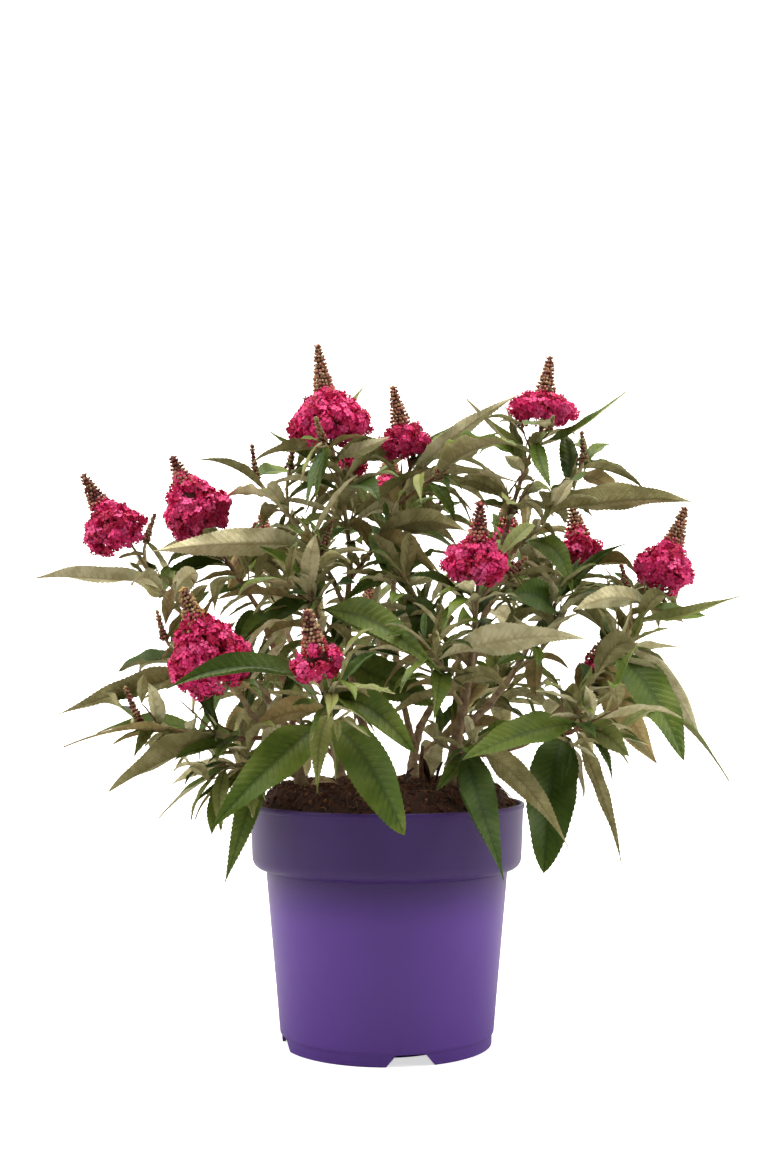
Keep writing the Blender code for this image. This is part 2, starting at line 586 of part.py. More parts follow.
class Mass:
    """One leafy shoot: its twigs, panicles and leaves, all to be joined in one solid."""

    def __init__(self, name, plan, limbs, space):
        self.name, self.plan, self.space = "foliage_" + name, plan, space
        parent, place = plan["limb"]
        bend, end = Vector(plan["bend"]), Vector(plan["end"])
        start, cut = seat_on(limbs[parent], place, bend)
        self.leader = Limb(start, bend, end, TWIG_RADIUS, TWIG_TIP_RADIUS, cut, TWIG_RINGS)
        self.twigs = [self.leader]
        self.forms = []
        self.random = random.Random("shoot " + name)
        self.side = 1

    def place(self, points, faces):
        self.forms.append((points, faces))
        self.space.add(self.name, points, faces)

    def grow_twigs(self):
        self.place(*tube(self.leader, TWIG_SIDES))
        for share, end, length, *kind in self.plan["twigs"]:
            end = Vector(end)
            start = self.leader.point(min(share, LAST_TWIG_ROOT))
            bend = (start + end) / 2 + self.leader.heading(share) * SIDE_TWIG_RISE
            thin = TWIG_TIP_RADIUS * SIDE_TWIG_TAPER
            twig = Limb(start, bend, end, TWIG_TIP_RADIUS, thin, None, SIDE_TWIG_RINGS)
            self.twigs.append(twig)
            self.place(*tube(twig, TWIG_SIDES))
            self.end_twig(twig, length, kind[0] if kind else "bud")

    def end_twig(self, twig, length, kind):
        width, lean, share = TWIG_ENDS[kind]
        way = twig.heading(1.0)
        tip = twig.end + (way + UP * lean) * (length * share)
        self.place(*panicle_form(twig.end - way * BUD_SINK, tip, width, kind))

    def grow_bloom(self):
        if "bloom" in self.plan:
            tip, width = self.plan["bloom"]
            self.place(*panicle_form(self.leader.point(BLOOM_ROOT), Vector(tip), width, "panicle"))

    def nearest(self, spot):
        """The place on this mass's twigs that lies nearest to a wanted leaf root."""
        best = None
        for twig in self.twigs:
            for i in range(4, 48):
                point = twig.point(i / 50)
                gap = (point - spot).length
                if best is None or gap < best[0]:
                    best = (gap, point, twig.heading(i / 50))
        return best[1], best[2]

    def try_leaf(self, root, way, knee, tip, width, roll):
        """Adds a leaf if it clears the other masses and limbs, and this mass past its own root."""
        self.side = -self.side
        root = root + (root - knee).normalized() * ROOT_DEPTH + way * (ROOT_STAGGER * self.side)
        if not self.space.is_free(*leaf_form(root, knee, tip, width, roll, LEAF_CLEARANCE), self.name):
            return False
        outer_root, outer_knee = along(root, knee, tip, BARE_SHARE), along(root, knee, tip, OUTER_KNEE)
        if not self.own_free(*leaf_form(outer_root, outer_knee, tip, width, roll, TOUCH_MARGIN)):
            return False
        self.place(*leaf_form(root, knee, tip, width, roll))
        return True

    def own_free(self, points, faces):
        tree = BVHTree.FromPolygons([tuple(p) for p in points], faces)
        for other_points, other_faces in self.forms:
            if tree.overlap(BVHTree.FromPolygons([tuple(p) for p in other_points], other_faces)):
                return False
        return True

    def grow_shown_leaves(self):
        for root, tip, width, roll, *arch in self.plan["shown"]:
            (start, way), tip = self.nearest(Vector(root)), Vector(tip)
            rise = (arch[0] if arch else ARCH) * (tip - start).length
            self.try_leaf(start, way, start.lerp(tip, KNEE_SHARE) + UP * rise, tip, width, roll)

    def grow_pairs(self):
        """Leaves in crossing pairs up each twig, smaller towards its tip."""
        for twig in self.twigs:
            leads = twig is self.leader
            pairs = self.plan["pairs"] if leads else SIDE_PAIRS
            full = self.plan["length"] * (1.0 if leads else SIDE_LEAF_SIZE)
            turn = self.random.uniform(0.0, math.pi)
            for k in range(pairs):
                share = FIRST_PAIR + PAIR_RUN * (k + 0.5) / pairs
                way = twig.heading(share)
                side = way.orthogonal().normalized()
                for flip in (0.0, math.pi):
                    angle = turn + flip + self.random.uniform(-TURN_RANGE, TURN_RANGE)
                    size = full * (1.0 - TWIG_TAPER * share)
                    size *= self.random.uniform(1.0 - SIZE_RANGE, 1.0 + SIZE_RANGE)
                    self.rule_leaf(twig.point(share), way, Matrix.Rotation(angle, 3, way) @ side, size)
                turn += math.pi / 2

    def rule_leaf(self, root, way, out, length):
        """A leaf that arches out and droops, shrunk until it fits or else skipped."""
        droop = self.random.uniform(LEAST_DROOP, MOST_DROOP)
        roll = self.random.uniform(-ROLL_RANGE, ROLL_RANGE)
        width = length * LEAF_SPREAD * self.random.uniform(1.0 - SIZE_RANGE, 1.0 + SIZE_RANGE)
        for shrink in SHRINKS:
            tip = root + (out * TIP_OUT + way * TIP_ALONG - UP * droop) * (length * shrink)
            knee = root + (out * KNEE_OUT + way * KNEE_ALONG + UP * KNEE_RISE) * (length * shrink)
            if in_crown(tip) and self.try_leaf(root, way, knee, tip, width * shrink, roll):
                return

    def join(self):
        """Fuses every form of the mass by one union on a collection."""
        first = add_object(self.name, *self.forms[0], "foliage")
        others = bpy.data.collections.new(self.name + "_forms")
        bpy.context.scene.collection.children.link(others)
        for i, (points, faces) in enumerate(self.forms[1:]):
            piece = add_object(self.name + "_form_%d" % i, points, faces, "foliage")
            bpy.context.scene.collection.objects.unlink(piece)
            others.objects.link(piece)
        union = first.modifiers.new("join", "BOOLEAN")
        union.operation = "UNION"
        union.operand_type = "COLLECTION"
        union.collection = others
        union.solver = "MANIFOLD"
        seen = bpy.context.evaluated_depsgraph_get()
        fused = bpy.data.meshes.new_from_object(first.evaluated_get(seen))
        first.modifiers.clear()
        old = first.data
        first.data = fused
        bpy.data.meshes.remove(old)
        fused.name = self.name
        for piece in list(others.objects):
            bpy.data.objects.remove(piece, do_unlink=True)
        bpy.data.collections.remove(others)
        keep_main_body(fused)


def keep_main_body(mesh):
    """Drops points along straight edges, sealed hollows and loose scraps: the largest shell stays."""
    form = bmesh.new()
    form.from_mesh(mesh)
    straight = [vert for vert in form.verts if len(vert.link_edges) == 2]
    bmesh.ops.dissolve_verts(form, verts=straight)
    left = set(form.faces)
    shells = []
    while left:
        shell, front = set(), {left.pop()}
        while front:
            shell |= front
            edges = {edge for face in front for edge in face.edges}
            front = {face for edge in edges for face in edge.link_faces if face in left}
            left -= front
        shells.append(shell)
    shells.sort(key=len)
    for shell in shells[:-1]:
        bmesh.ops.delete(form, geom=list(shell), context="FACES")
    form.to_mesh(mesh)
    form.free()


def pot_profile():
    """Radius and height from the middle of the underside, up the outside, down the inside."""
    band_foot = POT_HEIGHT - BAND_HEIGHT
    slope = (BODY_TOP_RADIUS - FOOT_RADIUS - FOOT_STEP) / (band_foot - FOOT_HEIGHT)
    body_foot = FOOT_RADIUS + FOOT_STEP
    inner_foot = body_foot + slope * (FLOOR_TOP - FOOT_HEIGHT) - WALL
    inner_top = BODY_TOP_RADIUS - WALL
    channel_top = FOOT_HEIGHT - 0.0010
    return [
        (0.0, 0.0), (HUB_RADIUS, 0.0), (HUB_RADIUS + 0.002, channel_top),
        (FOOT_RADIUS - WALL - 0.0012, channel_top), (FOOT_RADIUS - WALL - 0.0004, 0.0),
        (FOOT_RADIUS - 0.0006, 0.0), (FOOT_RADIUS, 0.0008), (FOOT_RADIUS + 0.0003, FOOT_HEIGHT - 0.0015),
        (body_foot, FOOT_HEIGHT), (BODY_TOP_RADIUS, band_foot - 0.0040),
        (BODY_TOP_RADIUS + 0.0045, band_foot - 0.0025), (RIM_RADIUS - 0.0045, band_foot + 0.0010),
        (RIM_RADIUS - 0.0027, band_foot + 0.0060), (RIM_RADIUS - 0.0004, POT_HEIGHT - 0.0035),
        (RIM_RADIUS, POT_HEIGHT - 0.0020), (RIM_RADIUS - 0.0005, POT_HEIGHT),
        (RIM_RADIUS - 0.0025, POT_HEIGHT), (RIM_RADIUS - WALL - 0.0028, band_foot + 0.0060),
        (inner_top + 0.0010, band_foot + 0.0010), (inner_top, band_foot - 0.0040),
        (inner_foot, FLOOR_TOP), (0.0, FLOOR_TOP),
    ]


def make_pot():
    pot = turned("pot", pot_profile(), POT_SIDES, "pot_plastic")
    for k in range(NOTCH_COUNT):
        cutter = notch_cutter(k)
        cut = pot.modifiers.new("notch %d" % k, "BOOLEAN")
        cut.operation = "DIFFERENCE"
        cut.object = cutter
        cut.solver = "EXACT"
    pot.data.shade_smooth()
    pot.data.set_sharp_from_angle(angle=math.radians(35.0))
    return pot


def notch_cutter(k):
    """A wedge that opens the foot skirt, wider at the ground than at its top."""
    near, far = FOOT_RADIUS - 0.0120, FOOT_RADIUS + 0.0060
    top = FOOT_HEIGHT - 0.0016
    outline = [(-NOTCH_FOOT_WIDTH / 2, -0.002), (NOTCH_FOOT_WIDTH / 2, -0.002),
               (NOTCH_TOP_WIDTH / 2, top), (-NOTCH_TOP_WIDTH / 2, top)]
    points = [(near, y, z) for y, z in outline] + [(far, y, z) for y, z in outline]
    faces = [(3, 2, 1, 0), (4, 5, 6, 7), (0, 1, 5, 4), (1, 2, 6, 5), (2, 3, 7, 6), (3, 0, 4, 7)]
    turn = Matrix.Rotation(NOTCH_TURN + 2.0 * math.pi * k / NOTCH_COUNT, 3, "Z")
    cutter = add_object("guide_notch_%d" % k, [turn @ Vector(p) for p in points], faces, "pot_plastic")
    cutter.hide_render = True
    cutter.display_type = "WIRE"
    return cutter


def make_compost():
    """The rooted fill: it follows the pot's inside and mounds up to a flat crown."""
    inside = pot_profile()[-5:]
    profile = [(0.0, FLOOR_TOP + GAP)]
    for radius, height in reversed(inside[:-1]):
        profile.append((radius - GAP * 1.2, height + (GAP if height == FLOOR_TOP else 0.0)))
    edge = profile[-1][0] + 0.0010
    brim = POT_HEIGHT - 0.0045
    profile += [(edge, brim), (edge - 0.0060, brim + 0.0060),
                (PLATEAU_RADIUS + 0.0060, COMPOST_TOP - 0.0030),
                (PLATEAU_RADIUS, COMPOST_TOP), (0.0, COMPOST_TOP)]
    fill = turned("compost", profile, POT_SIDES, "compost")
    fill.data.shade_smooth()
    fill.data.set_sharp_from_angle(angle=math.radians(40.0))
    return fill


def make_limbs(limbs):
    for name, limb in limbs.items():
        piece = add_object(name, limb.points, limb.faces, "bark")
        piece.data.shade_smooth()
        piece.data.set_sharp_from_angle(angle=math.radians(62.0))


def mesh_of(piece):
    seen = piece.evaluated_get(bpy.context.evaluated_depsgraph_get()).to_mesh()
    return [v.co.copy() for v in seen.vertices], [tuple(p.vertices) for p in seen.polygons]


def make_foliage(limbs, solids):
    space = Space()
    for piece in solids:
        space.add(piece.name, *mesh_of(piece))
    masses = [Mass(name, plan, limbs, space) for name, plan in MASSES.items()]
    for mass in masses:
        mass.grow_twigs()
        mass.grow_bloom()
    for mass in masses:
        mass.grow_shown_leaves()
    for mass in masses:
        mass.grow_pairs()
    for mass in masses:
        mass.join()


def main():
    clear_scene()
    solids = [make_pot(), make_compost()]
    limbs = grow_limbs()
    make_limbs(limbs)
    solids += [bpy.data.objects[name] for name in limbs]
    make_foliage(limbs, solids)


main()
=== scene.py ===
"""Potted butterfly bush: pot, compost, bark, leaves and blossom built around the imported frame.

Metres, +Z up, in the frame's own axes: the pot stands on Z = 0 and the plant's front faces -Y.
The limbs and shoots follow the same tables and the same seeded rule as the solids that they
replace, carried on to finer twigs, small leaves, single florets and buds.
"""
import random
from collections import namedtuple
from functools import cache, partial
from math import cos, exp, hypot, pi, radians, sin, sqrt

import bpy
import numpy as np
from mathutils import Matrix, Vector, noise
from mathutils.bvhtree import BVHTree
from numpy.linalg import norm


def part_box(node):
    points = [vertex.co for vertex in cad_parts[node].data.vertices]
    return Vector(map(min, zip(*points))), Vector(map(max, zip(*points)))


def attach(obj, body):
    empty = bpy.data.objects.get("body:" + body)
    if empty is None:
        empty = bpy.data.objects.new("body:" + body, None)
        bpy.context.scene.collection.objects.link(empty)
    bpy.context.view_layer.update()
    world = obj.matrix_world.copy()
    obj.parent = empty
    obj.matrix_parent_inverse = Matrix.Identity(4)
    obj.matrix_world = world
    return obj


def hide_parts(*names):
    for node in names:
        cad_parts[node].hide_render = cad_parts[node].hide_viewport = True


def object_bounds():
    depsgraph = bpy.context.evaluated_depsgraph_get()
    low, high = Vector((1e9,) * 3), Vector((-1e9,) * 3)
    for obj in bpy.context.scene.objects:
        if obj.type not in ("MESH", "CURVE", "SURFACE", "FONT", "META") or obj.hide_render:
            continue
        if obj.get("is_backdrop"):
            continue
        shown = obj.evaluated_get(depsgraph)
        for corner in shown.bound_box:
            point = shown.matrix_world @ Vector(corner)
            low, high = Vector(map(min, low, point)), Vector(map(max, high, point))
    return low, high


bl_info = {
    "name": "Potted Butterfly Bush",
    "version": (1, 0, 0),
    "blender": (4, 5, 0),
    "location": "3D View > Sidebar > Bush",
    "description": "Builds a flowering shrub in its nursery pot around a packed frame",
    "category": "Object",
}

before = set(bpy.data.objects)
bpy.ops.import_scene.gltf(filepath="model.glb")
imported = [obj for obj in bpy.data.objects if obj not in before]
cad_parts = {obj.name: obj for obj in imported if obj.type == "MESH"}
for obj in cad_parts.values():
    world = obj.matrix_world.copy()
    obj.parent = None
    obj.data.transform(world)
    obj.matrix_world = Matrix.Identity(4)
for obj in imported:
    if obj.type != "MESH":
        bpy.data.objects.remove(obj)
CAD_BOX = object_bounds()

# Pot, read from the frame and from the wall's own sizes
RIM_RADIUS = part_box("pot")[1].x
POT_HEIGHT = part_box("pot")[1].z
BAND_HEIGHT = 0.0507
# painted shade: how dark the band is painted, and how far down the body that painted shade fades out, for
# the shadow that the crown and the rim cast on the pot
BAND_PAINTED_SHADE = 0.42
SHADE_RUN = 0.045
BODY_TOP_RADIUS = 0.1008
FOOT_RADIUS = 0.0867
WALL = 0.0022
FOOT_HEIGHT = 0.011
FOOT_STEP = 0.0018
HUB_RADIUS = 0.055
FLOOR_TOP = 0.0135
NOTCH_COUNT = 4
NOTCH_TURN = radians(-77.5)
NOTCH_TOP_WIDTH = 0.0235
NOTCH_FOOT_WIDTH = 0.043

# Compost, limbs and leaves
COMPOST_TOP = 0.214
PLATEAU_RADIUS = 0.088
GAP = 0.0003
STEM_SIDES = 8
STEM_RINGS = 4
BOUGH_SIDES = 6
BOUGH_RINGS = 5
TWIG_SIDES = 3
TWIG_RINGS = 5
SIDE_TWIG_RINGS = 3
FLARE = 1.45
TWIG_RADIUS = 0.0027
TWIG_TIP_RADIUS = 0.0021
SIDE_TWIG_TAPER = 0.8
SIDE_TWIG_RISE = 0.006
LAST_TWIG_ROOT = 0.97
LEAF_KEEL = 0.0019
LEAF_SPREAD = 0.28
LEAF_CLEARANCE = 0.0007
PETIOLE_HALF_WIDTH = 0.0005
PETIOLE_KEEL = 0.0007
LONG_LEAF = 0.085
ARCH = 0.16
ROOT_STAGGER = 0.0012
ROOT_DEPTH = 0.0004
TOUCH_MARGIN = 0.0002

# Leaf outlines: share of the midrib and of the width, from the root on
LONG_BLADE = ((0.34, 0.5), (0.7, 0.37))
SHORT_BLADE = ((0.45, 0.5),)
KNEE_SHARE = 0.45
BARE_SHARE = 0.16
OUTER_KNEE = 0.55

# Leaves by rule: how far tip and knee reach out, along the twig and up, as shares of the length
TIP_OUT, TIP_ALONG, LEAST_DROOP, MOST_DROOP = 0.86, 0.3, 0.1, 0.45
KNEE_OUT, KNEE_ALONG, KNEE_RISE = 0.5, 0.3, 0.08
FIRST_PAIR, PAIR_RUN = 0.12, 0.78
TWIG_TAPER, SIDE_LEAF_SIZE, SIDE_PAIRS = 0.4, 0.8, 2
SIZE_RANGE, TURN_RANGE, ROLL_RANGE = 0.15, 0.25, 25
SHRINKS = (1, 0.8, 0.62)

# Panicles: sides, then rings as share of the length and of the width
PANICLE_FORMS = {
    "panicle": (7, ((0, 0.2), (0.1, 0.44), (0.3, 0.5), (0.48, 0.36))),
    "cluster": (6, ((0, 0.24), (0.35, 0.5), (0.75, 0.36))),
    "bud": (5, ((0, 0.3), (0.35, 0.5), (0.8, 0.3))),
}
SPIKE_RADIUS, SPIKE_FOOT, SPIKE_NECK, SPIKE_NECK_WIDTH = 0.0085, 0.58, 0.92, 0.42
BLOOM_ROOT = 0.93
BLOOM_SINK = 0.002
BUD_SINK = 0.003

# Buds and clusters at twig ends: width, upward lean and share of the stated length
TWIG_ENDS = {"bud": (0.009, 0.5, 0.8), "cluster": (0.032, 1, 0.6)}

# The space that the leaves grown by rule keep to
CROWN_CENTRE = Vector((0, 0, 0.345))
CROWN_REACH = Vector((0.292, 0.262, 0.225))
LOWEST_LEAF = 0.135
UP = Vector((0, 0, 1))

# Stems and boughs, in millimetres: what each grows from, how far along it (or its place on the
# compost), its bend, its tip, and its radius at the foot and at the tip
LIMBS = {
    "stem_left": ("compost", (-70, -32), (-75, -37, 236), (-80, -42, 258), 5.6, 4.3),
    "stem_centre": ("compost", (4, 4), (-6, 5, 236), (-19, 6, 258), 6, 4.6),
    "stem_right": ("compost", (50, -28), (57, -37, 252), (64, -46, 290), 6.6, 4.6),
    "stem_back": ("compost", (22, 54), (22, 64, 234), (30, 76, 258), 5.6, 4.4),
    "stem_back_left": ("compost", (-40, 46), (-42, 50, 234), (-52, 62, 256), 5.2, 4.2),
    "stem_old": ("compost", (29, -4), (28, -5, 228), (30, -6, 245), 2.2, 1.7),
    "bough_left_outer": ("stem_left", 1, (-98, -26, 290), (-150, 0, 335), 3.8, 2.7),
    "bough_left_front": ("stem_left", 0.66, (-90, -62, 258), (-108, -78, 274), 3.6, 2.9),
    "bough_left_upper": ("stem_left", 0.6, (-78, 6, 290), (-112, 38, 362), 3.6, 2.6),
    "bough_front": ("stem_left", 0.42, (-58, -72, 244), (-46, -94, 266), 3.4, 2.8),
    "bough_tall_left": ("stem_centre", 1, (-40, 8, 315), (-31, 10, 405), 4.2, 2.9),
    "bough_centre_front": ("stem_right", 1, (68, -56, 315), (70, -66, 338), 4, 3.1),
    "bough_tall_right": ("stem_right", 0.84, (74, 10, 325), (102, 18, 425), 4, 2.8),
    "bough_right_back": ("stem_right", 0.62, (104, -16, 292), (130, 35, 345), 3.7, 2.8),
    "bough_right": ("stem_right", 0.36, (112, -64, 236), (152, -52, 284), 4.3, 3.4),
    "bough_back_right": ("stem_back", 1, (56, 94, 305), (85, 115, 345), 3.8, 2.9),
    "bough_back_centre": ("stem_back", 0.7, (4, 78, 315), (6, 86, 390), 3.7, 2.8),
    "bough_back_left": ("stem_back_left", 1, (-74, 80, 305), (-92, 108, 345), 3.7, 2.8),
}

# Foliage masses, in millimetres, in the order of Plan: the limb and how far along it, the leading
# twig's bend and end, the panicle's tip and width, how many pairs of leaves grow by rule on the
# leader and their length, the side twigs as share of the leader, end, length of the bud and what it
# is if not a bud, and the leaves that show, in the order of Shown: root, tip, width, the solid's
# roll, the roll and finish that face the viewer, arch, the margin that turns over, and root, tip
# and arch where the leaf stands a little off its solid
Plan = namedtuple("Plan", "limb share bend end bloom pairs length twigs shown")
Shown = namedtuple("Shown", "root tip width roll facing finish arch margin moved",
                   defaults=(ARCH, 0, None))
MASSES = {
    "far_left": ("bough_left_outer", 1, (-185, 2, 362), (-209, 0, 404), ((-256, -10, 473), 56), 4, 85,
        [(0.9, (-205, 14, 420), 24)],
        [((-196, 0, 383), (-291, -30, 386), 22, 45, 55, "cream", 0.04),
         ((-183, 10, 364), (-228, 30, 392), 18, 40, 80, "olive"),
         ((-181, 10, 364), (-157, -30, 390), 18, 40, -40, "cream")]),
    "upper_left": ("bough_left_upper", 1, (-132, 46, 392), (-152, 50, 422), ((-188, 40, 495), 62), 4,
        105, [(0.55, (-125, 90, 425), 24)],
        [((-140, 48, 408), (-205, 105, 418), 24, 0, 50, "olive")]),
    "left_middle": ("bough_left_outer", 0.56, (-135, -40, 296), (-168, -50, 318), None, 3, 80,
        [(1, (-182, -46, 336), 20)],
        [((-158, -50, 318), (-221, -30, 308), 22, -20, -40, "deep"),
         ((-140, -44, 300), (-265, -64, 271), 24, 35, 45, "olive")]),
    "left_front": ("bough_left_front", 1, (-114, -86, 288), (-123, -100, 299), ((-157, -120, 372), 66),
        2, 70, [], []),
    "low_left": ("bough_left_front", 0.45, (-128, -72, 250), (-185, -88, 264), None, 3, 70,
        [(1, (-196, -88, 270), 26)],
        [((-145, -80, 260), (-237, -45, 258), 22, -20, -35, "green"),
         ((-160, -80, 253), (-247, -128, 250), 18, 30, 20, "tan"),
         ((-120, -80, 262), (-211, -130, 216), 30, 40, 55, "olive"),
         ((-179, -90, 266), (-186, -100, 300), 17, 0, 0, "cream")]),
    "low_left_foot": ("stem_left", 0.24, (-100, -50, 234), (-122, -62, 232), None, 2, 60, [],
        [((-122, -60, 230), (-179, -20, 214), 18, 30, 45, "cream"),
         ((-122, -60, 232), (-184, -65, 190), 16, 30, -30, "green"),
         ((-90, -70, 234), (-122, -134, 148), 20, 0, 0, "green")]),
    "front_left": ("bough_front", 1, (-40, -116, 278), (-51, -137, 299), ((-60, -150, 354), 44), 2, 70,
        [],
        [((-58, -100, 275), (-131, -155, 191), 35, -10, -48, "green"),
         ((-36, -100, 262), (13, -155, 187), 36, 0, 42, "green"),
         ((-45, -125, 290), (19, -172, 249), 26, -10, 45, "green", ARCH, 1),
         ((-47, -118, 282), (-163, -165, 290), 24, -30, -30, "deep", 0.03, -1,
          ((-50, -134, 297), (-163, -165, 296), 0.2)),
         ((-43, -110, 276), (-104, -92, 262), 22, 30, 40, "tan")]),
    "centre_left": ("bough_tall_left", 0.42, (-56, -24, 330), (-62, -48, 378), None, 3, 80,
        [(1, (-52, -40, 408), 24)],
        [((-59, -45, 360), (-118, -60, 330), 26, -10, -45, "deep", ARCH, -1),
         ((-59, -50, 350), (43, -115, 304), 32, 20, 48, "green", ARCH, 1)]),
    "inner_left": ("bough_tall_left", 0.74, (-52, -10, 410), (-105, 6, 462), None, 4, 85,
        [(1, (-112, 10, 474), 24), (0.78, (-82, 0, 482), 20)],
        [((-54, -10, 414), (-180, -50, 423), 28, 40, 60, "cream", ARCH, 0,
          ((-54, -10, 414), (-192, -50, 404), 0.12)),
         ((-105, 10, 460), (-158, -5, 487), 12, 20, 30, "olive"),
         ((-94, 10, 456), (-142, 50, 460), 16, 20, 40, "cream")]),
    "top_left": ("bough_tall_left", 1, (-36, 6, 455), (-48, 0, 503), ((-59, 0, 585), 70), 4, 90,
        [(0.7, (-33, 50, 482), 30, "cluster"), (0.8, (-53, -44, 496), 36)],
        [((-46, 0, 480), (-101, 20, 515), 14, 0, -25, "green", -0.25),
         ((-44, 0, 484), (3, -35, 501), 14, 0, -40, "cream", -0.1),
         ((-50, 0, 490), (-113, -30, 482), 18, 30, 30, "olive")]),
    "top_centre": ("bough_tall_left", 0.9, (6, 16, 430), (23, 30, 490), ((5, 20, 553), 48), 3, 85,
        [(0.62, (46, -12, 474), 36)],
        [((24, 18, 472), (112, -16, 540), 16, 40, -45, "cream", 0.05),
         ((24, 20, 465), (109, -25, 464), 16, 30, -45, "cream"),
         ((-10, 10, 426), (67, -55, 420), 24, 30, -60, "olive"),
         ((-10, 10, 424), (43, -55, 386), 24, 30, -70, "tan")]),
    "centre": ("bough_tall_right", 0.3, (50, -10, 330), (22, -16, 372), None, 3, 95,
        [(1, (14, -12, 388), 18)],
        [((19, -20, 370), (34, -48, 312), 28, 0, 0, "deep")]),
    "centre_low": ("stem_right", 0.9, (44, -66, 298), (34, -82, 336), None, 3, 72, [],
        [((40, -78, 316), (156, -128, 333), 28, 40, -55, "cream")]),
    "top_right": ("bough_tall_right", 1, (112, 18, 470), (135, 20, 519), ((141, 20, 579), 52), 4, 80,
        [(0.85, (136, -20, 510), 24)],
        [((130, 20, 500), (202, -10, 545), 13, 20, 55, "green", -0.16),
         ((126, 20, 494), (67, 0, 540), 14, 20, -45, "young", -0.16),
         ((130, 20, 505), (136, -30, 457), 14, 0, 0, "green")]),
    "right_upper": ("bough_tall_right", 0.88, (128, 4, 426), (163, 6, 472), None, 3, 80,
        [(1, (168, 10, 488), 22)],
        [((135, 10, 445), (258, -15, 450), 30, 45, -60, "olive"),
         ((161, 10, 474), (195, 35, 506), 14, 0, 0, "green"),
         ((152, 10, 466), (154, 40, 516), 16, 0, 0, "deep")]),
    "centre_front": ("bough_centre_front", 1, (70, -74, 352), (72, -80, 376), ((74, -90, 441), 54), 2,
        70, [(0.7, (100, -66, 386), 20)],
        [((72, -78, 364), (45, -135, 348), 20, 0, 0, "green")]),
    "right_back": ("bough_right_back", 1, (158, 62, 375), (178, 80, 408), ((166, 80, 457), 40), 4, 85,
        [(0.45, (124, 74, 392), 20)],
        [((140, 50, 365), (202, 0, 416), 16, 30, 75, "deep")]),
    "right_middle": ("bough_right_back", 0.62, (128, -26, 318), (148, -30, 358), None, 3, 80,
        [(0.85, (106, -30, 376), 22)],
        [((150, -30, 350), (98, -85, 366), 28, -20, -70, "deep")]),
    "far_right": ("bough_right", 1, (182, -36, 316), (231, 0, 374), ((253, 0, 446), 54), 3, 85,
        [(0.7, (206, 28, 380), 24)],
        [((194, -30, 320), (234, -90, 239), 36, -20, 40, "green"),
         ((180, -35, 300), (281, -50, 221), 16, -20, 35, "green"),
         ((185, -35, 305), (249, 10, 328), 16, 20, -50, "cream"),
         ((218, -5, 362), (150, -62, 356), 20, 40, 65, "cream"),
         ((208, -10, 346), (293, -22, 371), 16, 40, 40, "young", -0.04),
         ((218, -4, 354), (282, 54, 356), 18, 0, 40, "green", 0.04)]),
    "low_right": ("bough_right", 0.78, (140, -74, 250), (156, -88, 268), None, 1, 70, [],
        [((141, -70, 257), (120, -118, 155), 40, 0, -25, "deep"),
         ((152, -80, 258), (190, -60, 153), 16, 20, -15, "olive"),
         ((156, -88, 272), (56, -135, 240), 32, -20, -45, "green"),
         ((150, -85, 262), (184, -120, 243), 22, -20, 40, "young")]),
    "low_front_right": ("stem_right", 0.3, (62, -60, 240), (68, -76, 250), None, 1, 60, [],
        [((60, -68, 244), (87, -152, 154), 30, 0, 30, "blue", ARCH, 1),
         ((72, -70, 245), (139, -138, 174), 22, 30, -115, "olive")]),
    "right_side": ("bough_right", 0.55, (134, -12, 268), (180, 50, 300), ((200, 62, 352), 44), 4, 95,
        [(0.5, (180, 0, 292), 20)], []),
    "left_side": ("bough_left_outer", 0.32, (-104, 34, 298), (-160, 78, 318), ((-182, 88, 370), 44), 4,
        95, [(0.5, (-160, 34, 306), 20)], []),
    "back_left": ("bough_back_left", 1, (-104, 130, 380), (-110, 146, 408), ((-122, 160, 476), 58), 4,
        105, [(0.5, (-70, 150, 410), 22)], []),
    "back_centre": ("bough_back_centre", 1, (8, 92, 432), (4, 104, 462), ((0, 112, 535), 54), 4, 105,
        [(0.5, (40, 108, 452), 22)], []),
    "back_right": ("bough_back_right", 1, (104, 130, 385), (112, 146, 420), ((116, 158, 494), 58), 4,
        105, [(0.5, (76, 150, 410), 22)], []),
    "back_middle": ("bough_back_centre", 0.3, (-4, 118, 320), (-16, 158, 352), ((-18, 176, 404), 44), 4,
        95, [(0.6, (26, 150, 344), 20)], []),
    "back_low_right": ("stem_back", 0.45, (54, 96, 256), (94, 126, 272), None, 3, 100,
        [(1, (104, 134, 286), 22)], []),
    "back_low_left": ("stem_back_left", 0.5, (-72, 92, 262), (-104, 118, 276), None, 3, 100,
        [(1, (-114, 126, 290), 22)], []),
}

# Sectors of the crown: each is one piece of leaves, and stands for these masses
SECTORS = {
    "left": "far_left upper_left left_middle left_front left_side".split(),
    "low_left": "low_left low_left_foot front_left centre_low centre_front low_front_right".split(),
    "middle": "centre_left inner_left centre".split(),
    "top": "top_left top_centre".split(),
    "right": "top_right right_upper right_back right_middle".split(),
    "low_right": "far_right low_right right_side".split(),
    "back": "back_left back_centre back_right back_middle back_low_right back_low_left".split(),
}

BACK_SHOOTS = (*SECTORS["back"], "left_side", "right_side")

# Camera and stage
CAMERA_PLACE = (-0.0024, -1.3394, 0.3117)
CAMERA_PITCH = 0.0563
LENS_MM = 49.67
SENSOR_MM = 36
FLOOR_BOUNCE = 0.66
FLOOR_GLOW = 0.65
LAMP_TINT = (1, 0.962, 0.88)
LAMPS = {  # place, aim, size and share of the key's power
    "top_light": ((-0.3, -0.1, 2.6), (0, 0, 0.2), 2, 1),
    "left_light": ((-2.2, -0.3, 1.5), (0, 0, 0.3), 1.4, 0.58),
    "right_light": ((2.2, -0.3, 1.3), (0, 0, 0.3), 1.4, 0.58),
    "wall_light": ((0, 0.9, 2.6), (0, 3.2, 1), 3, 1.7),
}

